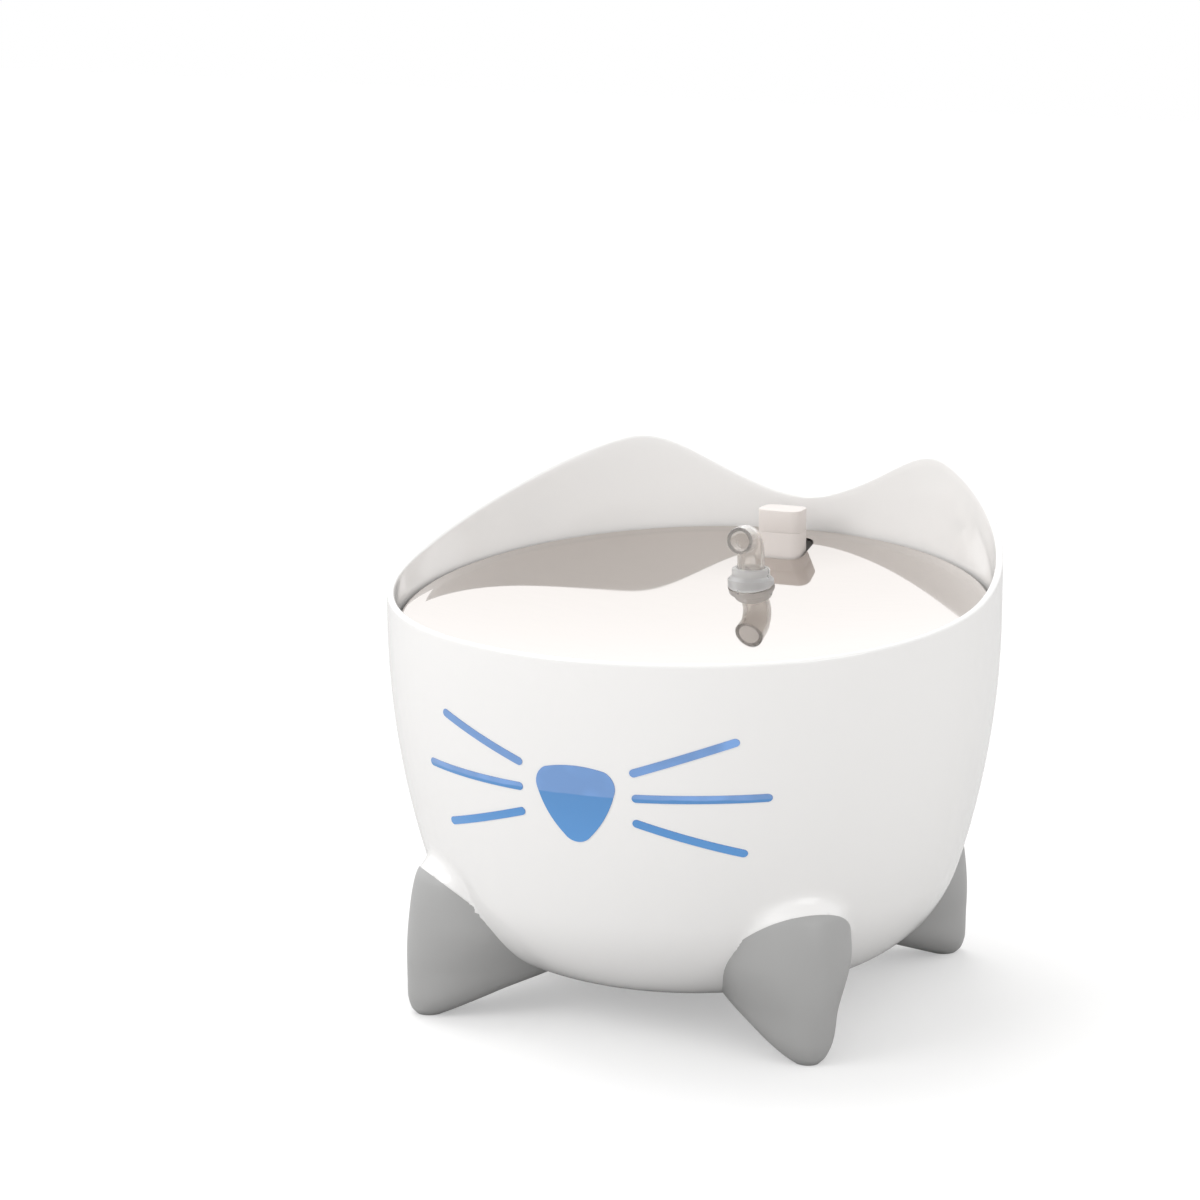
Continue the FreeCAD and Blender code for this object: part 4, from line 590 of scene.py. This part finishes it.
def shoulderRadius(angle, z, base):
    # the bowl's outside with the shoulders, which run down into the boots
    reach = base
    section = legSection(z)
    for turn in leg["turns"].values():
        off = (angle - math.radians(turn) + math.pi) % (2 * math.pi) - math.pi
        if abs(off) > leg["shoulderSpread"]:
            continue
        boss = legReach(off, section) - leg["shoulderInset"]
        gap = abs(base - boss)
        if boss < base - leg["blend"]:
            continue
        over = z - leg["jointLevel"] - (boss * math.cos(off) - leg["jointReach"]) * math.tan(leg["slope"])
        soft = max(leg["blend"] - gap, 0) / leg["blend"] * min(max(over / leg["rise"], 0.0), 1.0)
        target = max(base, boss) + soft * soft * leg["blend"] * leg["blendShare"]
        fade = min(max((over + leg["tuck"] + leg["fade"]) / leg["fade"], 0.0), 1.0)
        reach = max(reach, base + (target - base) * fade)
    return reach


def buildBowl():
    lip, wall, low = bowl["lip"], bowl["wall"], bowl["blendLevel"]
    outer, inner = bowlOutline(0.0, bowl["rows"]), bowlOutline(wall, bowl["innerRows"])
    levels = [low + (bowl["sideTop"] - low) * i / bowl["upperRows"] for i in range(1, bowl["upperRows"] + 1)]
    middle = bowl["rimRadius"] - wall / 2
    turns = [math.pi * i / bowl["lipSteps"] for i in range(1, bowl["lipSteps"])]
    rounding = [(middle + wall / 2 * math.cos(a), bowl["sideTop"] + lip * math.sin(a)) for a in turns]
    outline = outer + [(bowlRadius(z), z) for z in levels] + rounding
    outline += [(bowlRadius(z, wall), z) for z in reversed(levels)] + list(reversed(inner))
    obj = spun("bowl_shell", outline, steps=bowl["columns"], closed=False, smoothAngle=60)
    # stretch the upper rows to the ear line, then push the shoulders out
    for vertex in obj.data.vertices:
        x, y, z = vertex.co
        radius = math.hypot(x, y)
        if z > low + closeBy:
            top = rimAt(bowl["rimRadius"] * y / radius) - lip
            share = min((z - low) / (bowl["sideTop"] - low), 1.0)
            inset = wall if radius < bowlRadius(z) - wall / 2 else 0.0
            level = low + (top - low) * share + max(z - bowl["sideTop"], 0.0)
            if share < 1.0:
                scale = bowlRadius(level, inset) / radius
                x, y = x * scale, y * scale
            vertex.co = (x, y, level)
        elif leg["shoulderLow"] < z < leg["shoulderTop"] and radius > bowlRadius(z) - wall / 2:
            scale = shoulderRadius(math.atan2(y, x), z, radius) / radius
            vertex.co = (x * scale, y * scale, z)
    obj.data.update()
    return tidyMesh(obj, 60)


finishPiece(buildBowl(), mats["bowl"], "reservoir", ["body_shell"])


# boots: rings of ellipses drawn up from the toe, cut along the joint and hollowed by the bowl

def bowlCutter(inset=0.0, top=0.0, shrink=0.0):
    # the space inside the bowl's outline, up to a level
    outline = [(max(r - shrink, 0.0), z + shrink) for r, z in bowlOutline(inset, bowl["cutterRows"])]
    if top:
        low, rows = bowl["blendLevel"], bowl["cutterUpperRows"]
        levels = [low + (top - low) * i / rows for i in range(1, rows + 1)]
        outline += [(bowlRadius(z, inset), z) for z in levels]
    outline.append((0.0, outline[-1][1]))
    return spun("cutter", outline, steps=bowl["cutterColumns"], closed=False)


def bootBlank():
    count, top = leg["columns"], leg["sections"][-1][0]
    levels = [top * (i / leg["rows"]) ** leg["crowding"] for i in range(1, leg["rows"] + 1)]
    levels = [leg["firstRing"]] + [v for v in levels if v > leg["nextRing"]]
    clearSelection()
    bpy.ops.mesh.primitive_circle_add(vertices=count, radius=1.0, fill_type="NGON")
    obj = bpy.context.object
    last = legSection(0.0)
    for vertex in obj.data.vertices:
        vertex.co = (last[0] + last[1] * vertex.co.x, last[2] * vertex.co.y, 0.0)
    for number, level in enumerate(levels):
        pick(obj)
        bpy.ops.object.mode_set(mode="EDIT")
        if number == 0:
            bpy.ops.mesh.select_all(action="SELECT")
        bpy.ops.mesh.extrude_region_move(TRANSFORM_OT_translate={"value": (0, 0, level)})
        bpy.ops.object.mode_set(mode="OBJECT")
        section = legSection(level)
        for vertex in obj.data.vertices:
            if vertex.select:
                x = (vertex.co.x - last[0]) / last[1]
                y = vertex.co.y / last[2]
                vertex.co = (section[0] + section[1] * x, section[2] * y, level)
        last = section
    slope = leg["slope"]
    tidyMesh(obj, 50)
    bisected(obj, (leg["jointReach"], 0, leg["jointLevel"]), (-math.sin(slope), 0, math.cos(slope)))
    combine(obj, bowlCutter(shrink=leg["sink"]))
    tidyMesh(obj)
    return softenEdges(obj, leg["soften"], angle=42, smoothAngle=45)


blank = bootBlank()
for nodeName, turn in leg["turns"].items():
    pick(blank)
    bpy.ops.object.duplicate()
    boot = bpy.context.object
    boot.name = nodeName.replace("foot", "boot")
    moveMesh(boot, Matrix.Rotation(math.radians(turn), 4, "Z"))
    finishPiece(boot, mats["boot"], "reservoir", [nodeName])
bpy.data.objects.remove(blank, do_unlink=True)


# pump deck and ribs, moulded with the bowl

deck = {"width": 0.046, "front": 0.012, "back": 0.070, "low": 0.011, "top": 0.0186, "corner": 0.004,
        "soften": 0.0006, "sink": 0.0012}
rib = {"width": 0.003, "inner": 0.1075, "outer": 0.1135, "outerTop": 0.116, "top": 0.1312, "toe": 0.0040,
       "drop": 0.026, "soften": 0.0004}


def box(name, low, high):
    clearSelection()
    size = [b - a for a, b in zip(low, high)]
    middle = [(a + b) / 2 for a, b in zip(low, high)]
    bpy.ops.mesh.primitive_cube_add(size=1.0, location=middle)
    obj = bpy.context.object
    obj.name = name
    bpy.ops.object.transform_apply(location=True, rotation=True, scale=True)
    for vertex in obj.data.vertices:
        vertex.co = [m + (c - m) * s for c, m, s in zip(vertex.co, middle, size)]
    return obj


def upright(obj, radius, segments=8):
    # the four upright edges rounded
    weights = obj.data.attributes.new("bevel_weight_edge", "FLOAT", "EDGE")
    for edge in obj.data.edges:
        a, b = (obj.data.vertices[i].co for i in edge.vertices)
        weights.data[edge.index].value = 1.0 if abs(a.z - b.z) > closeBy else 0.0
    modified(obj, "BEVEL", width=radius, segments=segments, limit_method="WEIGHT")
    left = obj.data.attributes.get("bevel_weight_edge")
    if left:
        obj.data.attributes.remove(left)
    return obj


def buildMoulded():
    half = deck["width"] / 2
    base = box("bowl_deck", (-half, deck["front"], deck["low"]), (half, deck["back"], deck["top"]))
    upright(base, deck["corner"])
    softenEdges(base, deck["soften"])
    combine(base, bowlCutter(shrink=deck["sink"]), "INTERSECT")
    pieces = [tidyMesh(base)]
    for number in range(4):
        points = [(rib["inner"], rib["top"]), (rib["inner"], rib["top"] - rib["toe"]),
                  (rib["outer"], rib["top"] - rib["drop"]), (rib["outerTop"], rib["top"])]
        wing = prism("rib", points, -rib["width"] / 2, rib["width"] / 2)
        softenEdges(wing, rib["soften"])
        pieces.append(moveMesh(wing, Matrix.Rotation(math.radians(45 + 90 * number), 4, "Z")))
    return joined("bowl_deck", pieces)


finishPiece(buildMoulded(), mats["bowl"], "reservoir", ["body_shell"])


# face: nose and whisker bars, all but flush with the wall

face = {
    "proud": 0.00022, "depth": 0.0028, "soften": 0.0005, "grid": 0.0012, "margin": 0.002,
    "cutFrom": -0.13, "cutTo": -0.05, "whisker": 0.00155, "endSteps": 16,
    "bars": [((0.0228, 0.1132), (0.0576, 0.1253)), ((0.0232, 0.1034), (0.0670, 0.1037)),
             ((0.0229, 0.0936), (0.0581, 0.0822))],
    "nose": {"brow": (0.0118, 0.1128), "cheek": (0.0151, 0.1039), "chin": (0.0052, 0.0871)},
    "noseArcs": {"brow": (0.046, 20), "cheek": (0.007, 14), "side": (0.040, 18), "tip": (0.0065, 14)},
}


def arcPoints(start, end, radius, count):
    # points along an arc from one place to another, bulging to the left of that way
    a, b = Vector(start), Vector(end)
    middle, chord = (a + b) / 2, b - a
    rise = math.sqrt(max(radius ** 2 - (chord.length / 2) ** 2, 0.0))
    out = Vector((-chord.y, chord.x)).normalized()
    centre = middle - out * rise
    a0 = math.atan2((a - centre).y, (a - centre).x)
    sweep = math.atan2((b - centre).y, (b - centre).x) - a0
    sweep = (sweep + math.pi) % (2 * math.pi) - math.pi
    angles = [a0 + sweep * i / count for i in range(count)]
    return [tuple(centre + Vector((math.cos(angle), math.sin(angle))) * radius) for angle in angles]


def noseOutline():
    brow, cheek, chin = (face["nose"][k] for k in ("brow", "cheek", "chin"))
    mirror = [(-x, z) for x, z in (chin, cheek, brow)]
    corners = [mirror[2], brow, cheek, chin, mirror[0], mirror[1], mirror[2]]
    points = []
    for number, kind in enumerate(("brow", "cheek", "side", "tip", "side", "cheek")):
        radius, count = face["noseArcs"][kind]
        points += arcPoints(corners[number], corners[number + 1], radius, count)
    return points


def barOutline(start, end, side):
    # a straight bar with round ends
    a, b = Vector((start[0] * side, start[1])), Vector((end[0] * side, end[1]))
    angle = math.atan2((b - a).y, (b - a).x)
    steps = face["endSteps"]
    points = []
    for centre, base in ((b, angle - math.pi / 2), (a, angle + math.pi / 2)):
        turns = [base + math.pi * i / steps for i in range(steps + 1)]
        points += [tuple(centre + Vector((math.cos(t), math.sin(t))) * face["whisker"]) for t in turns]
    return points


def insert(name, outline):
    # a sheet laid on the bowl's face, given depth and cut to its outline
    xs, zs = [p[0] for p in outline], [p[1] for p in outline]
    margin, step = face["margin"], face["grid"]
    low, high = (min(xs) - margin, min(zs) - margin), (max(xs) + margin, max(zs) + margin)
    clearSelection()
    bpy.ops.mesh.primitive_grid_add(x_subdivisions=max(4, round((high[0] - low[0]) / step)),
                                    y_subdivisions=max(4, round((high[1] - low[1]) / step)), size=1.0)
    obj = bpy.context.object
    obj.name = name
    for vertex in obj.data.vertices:
        x = low[0] + (vertex.co.x + 0.5) * (high[0] - low[0])
        z = low[1] + (vertex.co.y + 0.5) * (high[1] - low[1])
        radius = bowlRadius(z) + face["proud"]
        vertex.co = (x, -math.sqrt(radius ** 2 - x ** 2), z)
    obj.data.update()
    outward = sum(p.normal.y for p in obj.data.polygons) < 0
    modified(obj, "SOLIDIFY", thickness=face["depth"], offset=-1.0 if outward else 1.0, use_even_offset=True)
    combine(obj, prism("cutter", outline, face["cutFrom"], face["cutTo"]), "INTERSECT")
    tidyMesh(obj, 30)
    return softenEdges(obj, face["soften"], segments=3, smoothAngle=50)


def paintRimShade(obj):
    # the walls and softened rims of an insert take a darker colour: painted shade, standing for the shadowed
    # groove line round the insert
    obj.data.materials.append(mats["windowRimShade"])
    near = 0.001
    for polygon in obj.data.polygons:
        x, y, z = polygon.center
        out = Vector((x, y, 0)).normalized()
        slope = (bowlRadius(z + near) - bowlRadius(z - near)) / (2 * near)
        normal = (out - Vector((0, 0, slope))).normalized()
        if polygon.normal.dot(normal) < window["rimShadeReach"]:
            polygon.material_index = 1


nose = insert("nose_insert", noseOutline())
finishPiece(nose, mats["window"], "reservoir", ["nose_window"])
paintRimShade(nose)
for sideName, side in (("left", -1), ("right", 1)):
    bars = [insert("bar", barOutline(a, b, side)) for a, b in face["bars"]]
    bars = joined("whisker_bars_" + sideName, bars)
    finishPiece(bars, mats["window"], "reservoir", ["whiskers_" + sideName])
    paintRimShade(bars)


# dish: a polished cap with a rolled edge, drain slots and cut-outs

dish = {
    "radius": 0.114, "level": 0.1485, "tilt": math.radians(5.3), "sag": 0.010, "sheet": 0.0008,
    "bead": 0.0012, "rings": 46, "steps": 288,
    "rollDrop": 0.6, "rollLead": 0.35, "rollEnd": 2.2, "rollSteps": 18,
    "slotReach": 0.074, "slotLength": 0.013, "slotWidth": 0.003, "slots": 9, "pitch": 6.5,
    "slotSteps": 10, "slotCut": 0.02,
    "postHalf": 0.0102, "postFront": 0.0863, "postBack": 0.1068, "postRound": 0.0052,
    "postCutLow": 0.12, "postCutTop": 0.19,
    "stem": 0.0068, "stemBack": 0.0595, "stemLevel": 0.15, "stemCut": 0.06, "stemSides": 64,
}
dish["ball"] = (dish["radius"] ** 2 + dish["sag"] ** 2) / (2 * dish["sag"])


def dishRise(r):
    return r * r / 2 / dish["ball"] * (1 + (r / dish["ball"]) ** 2 / 4) - dish["sag"]


def dishOutline():
    edge, bead, count = dish["radius"] - dish["bead"], dish["bead"], dish["rings"]
    top = [(edge * i / count, dishRise(edge * i / count)) for i in range(count)]
    # the rolled edge: from the sheet's top round to its underside
    drop, steps = dish["rollDrop"], dish["rollSteps"]
    start = math.atan2(dishRise(edge) + drop * bead, 0.0001) + dish["rollLead"]
    turns = [start - i * (start + dish["rollEnd"]) / steps for i in range(steps + 1)]
    roll = [(edge + bead * math.cos(a), -drop * bead + bead * math.sin(a)) for a in turns]
    under = [(edge * i / count, dishRise(edge * i / count) - dish["sheet"]) for i in range(count - 1, -1, -1)]
    return top + roll + under


def slotCutter():
    # an oblong with round ends, in front of the axis
    half, reach, straight = dish["slotWidth"] / 2, dish["slotReach"], dish["slotLength"] / 2
    steps, cut = dish["slotSteps"], dish["slotCut"]
    points = []
    for end, base in ((-straight, math.pi), (straight, 0.0)):
        turns = [base + math.pi * i / steps for i in range(steps + 1)]
        points += [(half * math.cos(a), -reach + end + half * math.sin(a), -cut) for a in turns]
    return pulled("slot", points, (0, 0, 2 * cut))


def buildDish():
    obj = spun("steel_dish", dishOutline(), steps=dish["steps"], closed=False, smoothAngle=45)
    lay = Matrix.Translation((0, 0, dish["level"])) @ Matrix.Rotation(dish["tilt"], 4, "X")
    moveMesh(obj, lay)
    cutters = []
    for number in range(dish["slots"]):
        turn = math.radians((number - (dish["slots"] - 1) / 2) * dish["pitch"])
        cutters.append(moveMesh(slotCutter(), lay @ Matrix.Rotation(turn, 4, "Z")))
    hole = box("hole", (-dish["postHalf"], dish["postFront"], dish["postCutLow"]),
               (dish["postHalf"], dish["postBack"], dish["postCutTop"]))
    cutters.append(upright(hole, dish["postRound"]))
    clearSelection()
    bpy.ops.mesh.primitive_cylinder_add(vertices=dish["stemSides"], radius=dish["stem"],
                                        depth=dish["stemCut"],
                                        location=(0, dish["stemBack"], dish["stemLevel"]))
    bpy.ops.object.transform_apply(location=True, rotation=True, scale=True)
    cutters.append(bpy.context.object)
    combine(obj, tidyMesh(joined("cutter", cutters)))
    return tidyMesh(obj, 45)


finishPiece(buildDish(), mats["steel"], "top", ["drinking_plate"])


# spout and its collar

spout = {"back": 0.0595, "foot": 0.14604, "bend": 0.15929, "turn": 0.0075, "reach": 0.005, "outer": 0.0054,
         "bore": 0.0039, "sides": 64, "footSteps": 8, "bendSteps": 24, "reachSteps": 4, "soften": 0.0003}
collar = {"seat": 0.14699, "slope": 0.1836, "stem": 0.0063, "low": 0.1395, "flange": 0.0092,
          "flangeLow": 0.1437, "flangeTop": 0.1496, "riseTop": 0.1506, "radius": 0.0076, "top": 0.1538,
          "edge": 0.0008, "edgeShare": 0.3, "mouth": 0.0057, "step": 0.1459, "stepLow": 0.1444,
          "hole": 0.0047, "corner": 0.0003, "nick": 0.0002, "flare": 0.0004, "steps": 96}


def buildSpout():
    # a ring drawn up, turned over the bend and drawn out to the mouth, then given its wall
    sides = spout["sides"]
    clearSelection()
    bpy.ops.mesh.primitive_circle_add(vertices=sides, radius=spout["outer"], fill_type="NOTHING",
                                      location=(0, spout["back"], spout["foot"]))
    obj = bpy.context.object
    obj.name = "spout_elbow"
    bpy.ops.object.transform_apply(location=True, rotation=True, scale=True)
    bpy.ops.object.mode_set(mode="EDIT")
    bpy.ops.mesh.select_all(action="SELECT")
    rise = (spout["bend"] - spout["foot"]) / spout["footSteps"]
    for _ in range(spout["footSteps"]):
        bpy.ops.mesh.extrude_region_move(TRANSFORM_OT_translate={"value": (0, 0, rise)})
    bpy.ops.mesh.spin(steps=spout["bendSteps"], angle=math.pi / 2,
                      center=(0, spout["back"] - spout["turn"], spout["bend"]), axis=(-1, 0, 0))
    forward = -spout["reach"] / spout["reachSteps"]
    for _ in range(spout["reachSteps"]):
        bpy.ops.mesh.extrude_region_move(TRANSFORM_OT_translate={"value": (0, forward, 0)})
    bpy.ops.mesh.select_all(action="SELECT")
    bpy.ops.mesh.remove_doubles(threshold=closeBy)
    bpy.ops.mesh.normals_make_consistent(inside=False)
    bpy.ops.object.mode_set(mode="OBJECT")
    outward = sum(p.normal.dot(Vector((p.center.x, p.center.y - spout["back"], 0)))
                  for p in obj.data.polygons if p.center.z < spout["bend"])
    modified(obj, "SOLIDIFY", thickness=spout["outer"] - spout["bore"], offset=-1.0 if outward > 0 else 1.0,
             use_even_offset=True)
    tidyMesh(obj, 40)
    return softenEdges(obj, spout["soften"])


def buildCollar():
    c, corner, nick, edge = collar, collar["corner"], collar["nick"], collar["edge"]
    turned = edge * c["edgeShare"]
    outline = [(c["hole"], c["low"]), (c["stem"] - corner, c["low"]), (c["stem"], c["low"] + corner),
               (c["stem"], c["flangeLow"]), (c["flange"] - nick, c["flangeLow"]),
               (c["flange"], c["flangeLow"] + nick), (c["flange"], c["flangeTop"] - corner),
               (c["flange"] - corner, c["flangeTop"]), (c["radius"] + c["flare"], c["riseTop"] - corner),
               (c["radius"], c["riseTop"] + nick), (c["radius"], c["top"] - edge),
               (c["radius"] - turned, c["top"] - turned), (c["radius"] - edge, c["top"]),
               (c["mouth"] + nick, c["top"]), (c["mouth"], c["top"] - nick), (c["mouth"], c["step"]),
               (spout["bore"], c["step"]), (spout["bore"], c["stepLow"]), (c["hole"], c["stepLow"])]
    obj = spun("collar_ring", outline, steps=c["steps"], centre=(0, spout["back"], 0), smoothAngle=38)
    # the underside of the flange lies along the dish: its rings are lifted to the slope
    for vertex in obj.data.vertices:
        above = vertex.co.z - c["flangeLow"]
        if -closeBy * 10 < above < nick + closeBy * 10:
            vertex.co.z = c["seat"] + (vertex.co.y - spout["back"]) * c["slope"] + above
    return tidyMesh(obj, 38)


finishPiece(buildSpout(), mats["spout"], "spout", ["spout"])
finishPiece(buildCollar(), mats["collar"], "spout_base", ["spout_collar"])


# riser post and its cap

post = {"half": 0.009, "front": 0.0875, "back": 0.1005, "corner": 0.004, "low": 0.046, "capLow": 0.1625,
        "top": 0.1715, "line": 0.00025, "cutterTop": 0.18}


def postBlock(name, low, top):
    block = box(name, (-post["half"], post["front"], low), (post["half"], post["back"], top))
    return upright(block, post["corner"])


def buildPost():
    tube = postBlock("riser_post", post["low"], post["capLow"])
    combine(tube, bowlCutter(bowl["wall"], post["cutterTop"]), "INTERSECT")
    tidyMesh(tube, 45)
    return softenEdges(tube, post["line"], angle=60)


def buildCap():
    return softenEdges(postBlock("riser_cap", post["capLow"], post["top"]), post["line"], angle=60)


finishPiece(buildPost(), mats["post"], "reservoir", ["cable_post"])
finishPiece(buildCap(), mats["post"], "reservoir", ["post_cap"])


# nodes that keep their CAD mesh

finishes = {
    "face_liner": "liner", "cable_gland": "seal", "pump_lead": "lead", "plate_carrier": "carrier",
    "filter_tray": "carrier", "filter_frame": "cartridge", "filter_carbon": "carbon", "filter_foam": "foam",
    "pump_housing": "pump", "motor_potting": "resin", "stator_core": "core", "stator_coil": "coil",
    "pump_cover": "pump", "impeller": "impeller", "rotor_magnet": "magnet", "rotor_shaft": "shaft",
    "shaft_bushes": "seal", "suction_cups": "cup", "tube_sleeve": "tube", "flow_tube": "tube",
}
for nodeName, finish in finishes.items():
    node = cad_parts[nodeName]
    for place in node.material_slots:
        place.material = mats[finish]
    if not node.material_slots:
        node.data.materials.append(mats[finish])
missing = [n for n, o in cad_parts.items() if n not in finishes and not o.hide_render]
print("nodes with finishes:", len(finishes), "left over:", missing)


# floor, world and lamps

stage = {
    "floor": 6.0, "floorTone": 0.62, "floorGlow": 0.36, "worldLevel": 0.755, "worldTint": (1.0, 0.99, 0.98),
    "glossLevel": 1.68, "glossTint": (0.98, 1.0, 1.02),
    "glossBand": [(0.0, 0.55), (0.30, 0.92), (0.45, 1.0), (0.66, 0.97), (0.86, 0.66), (1.0, 0.55)],
    "sun": 1.2, "sunSpread": 38.0, "sunFrom": (-0.42, 0.30, 1.0), "aim": (0, 0, 0.08),
    "panels": {"right": {"place": (1.5, -0.5, 0.7), "size": (0.8, 1.2), "level": 4.0},
               "frontLeft": {"place": (-0.9, -1.1, 0.9), "size": (0.9, 0.9), "level": 7.5}},
}


def addFloor():
    clearSelection()
    bpy.ops.mesh.primitive_plane_add(size=stage["floor"], location=(0, 0, 0))
    floor = bpy.context.object
    floor.name = "studioFloor"
    mat, tree, shader = newMaterial("studio floor")
    shader.inputs["Base Color"].default_value = (stage["floorTone"],) * 3 + (1,)
    shader.inputs["Roughness"].default_value = 1.0
    glow = tree.nodes.new("ShaderNodeEmission")
    glow.inputs["Strength"].default_value = stage["floorGlow"]
    both = tree.nodes.new("ShaderNodeAddShader")
    rays = tree.nodes.new("ShaderNodeLightPath")
    gate = tree.nodes.new("ShaderNodeMixShader")
    tree.links.new(shader.outputs[0], both.inputs[0])
    tree.links.new(glow.outputs[0], both.inputs[1])
    tree.links.new(rays.outputs["Is Camera Ray"], gate.inputs[0])
    tree.links.new(shader.outputs[0], gate.inputs[1])
    tree.links.new(both.outputs[0], gate.inputs[2])
    tree.links.new(gate.outputs[0], tree.nodes["Material Output"].inputs["Surface"])
    floor.data.materials.append(mat)


def addWorld():
    world = bpy.data.worlds.new("studio")
    bpy.context.scene.world = world
    world.use_nodes = True
    tree = world.node_tree
    rays = tree.nodes.new("ShaderNodeLightPath")
    white = tree.nodes.new("ShaderNodeBackground")
    white.inputs["Color"].default_value = (1, 1, 1, 1)
    white.inputs["Strength"].default_value = 1.0
    soft = tree.nodes["Background"]
    soft.inputs["Strength"].default_value = stage["worldLevel"]
    soft.inputs["Color"].default_value = (*stage["worldTint"], 1)
    bright = tree.nodes.new("ShaderNodeBackground")
    bright.inputs["Color"].default_value = (*stage["glossTint"], 1)
    # reflections see a bright band at mid height, softer at the horizon and overhead
    turned = tree.nodes.new("ShaderNodeSeparateXYZ")
    tree.links.new(tree.nodes.new("ShaderNodeTexCoord").outputs["Generated"], turned.inputs[0])
    band = tree.nodes.new("ShaderNodeValToRGB")
    stops = band.color_ramp.elements
    for number, (height, share) in enumerate(stage["glossBand"]):
        stop = stops[number] if number < 2 else stops.new(height)
        stop.position = height
        stop.color = (share, share, share, 1)
    tree.links.new(turned.outputs["Z"], band.inputs[0])
    level = tree.nodes.new("ShaderNodeMath")
    level.operation = "MULTIPLY"
    level.inputs[1].default_value = stage["glossLevel"]
    tree.links.new(band.outputs[0], level.inputs[0])
    tree.links.new(level.outputs[0], bright.inputs["Strength"])
    mirror = tree.nodes.new("ShaderNodeMixShader")
    tree.links.new(rays.outputs["Is Glossy Ray"], mirror.inputs[0])
    tree.links.new(soft.outputs[0], mirror.inputs[1])
    tree.links.new(bright.outputs[0], mirror.inputs[2])
    seen = tree.nodes.new("ShaderNodeMath")
    seen.operation = "MAXIMUM"
    tree.links.new(rays.outputs["Is Camera Ray"], seen.inputs[0])
    tree.links.new(rays.outputs["Is Transmission Ray"], seen.inputs[1])
    gate = tree.nodes.new("ShaderNodeMixShader")
    tree.links.new(seen.outputs[0], gate.inputs[0])
    tree.links.new(mirror.outputs[0], gate.inputs[1])
    tree.links.new(white.outputs[0], gate.inputs[2])
    tree.links.new(gate.outputs[0], tree.nodes["World Output"].inputs["Surface"])


def addLamp(name, kind, level):
    clearSelection()
    bpy.ops.object.light_add(type=kind)
    lamp = bpy.context.object
    lamp.name = name
    lamp.data.energy = level
    return lamp


def facing(source):
    # how a lamp is turned to shine from this side
    back = Vector(source).normalized()
    right = Vector((-back.y, back.x, 0)).normalized()
    return Matrix((right, back.cross(right), back)).transposed().to_4x4()


def addSun():
    lamp = addLamp("key", "SUN", stage["sun"])
    lamp.data.angle = math.radians(stage["sunSpread"])
    lamp.matrix_world = facing(stage["sunFrom"])
    lamp.visible_glossy = False  # the steel would mirror its disk as flat white


def addPanel(name, place, size, level):
    lamp = addLamp(name, "AREA", level)
    lamp.data.shape = "RECTANGLE"
    lamp.data.size, lamp.data.size_y = size
    lamp.matrix_world = Matrix.Translation(place) @ facing(Vector(place) - Vector(stage["aim"]))


addFloor()
addWorld()
addSun()
for panelName, panel in stage["panels"].items():
    addPanel(panelName, **panel)
bpy.context.scene.view_settings.view_transform = "Standard"
print("stage ready")
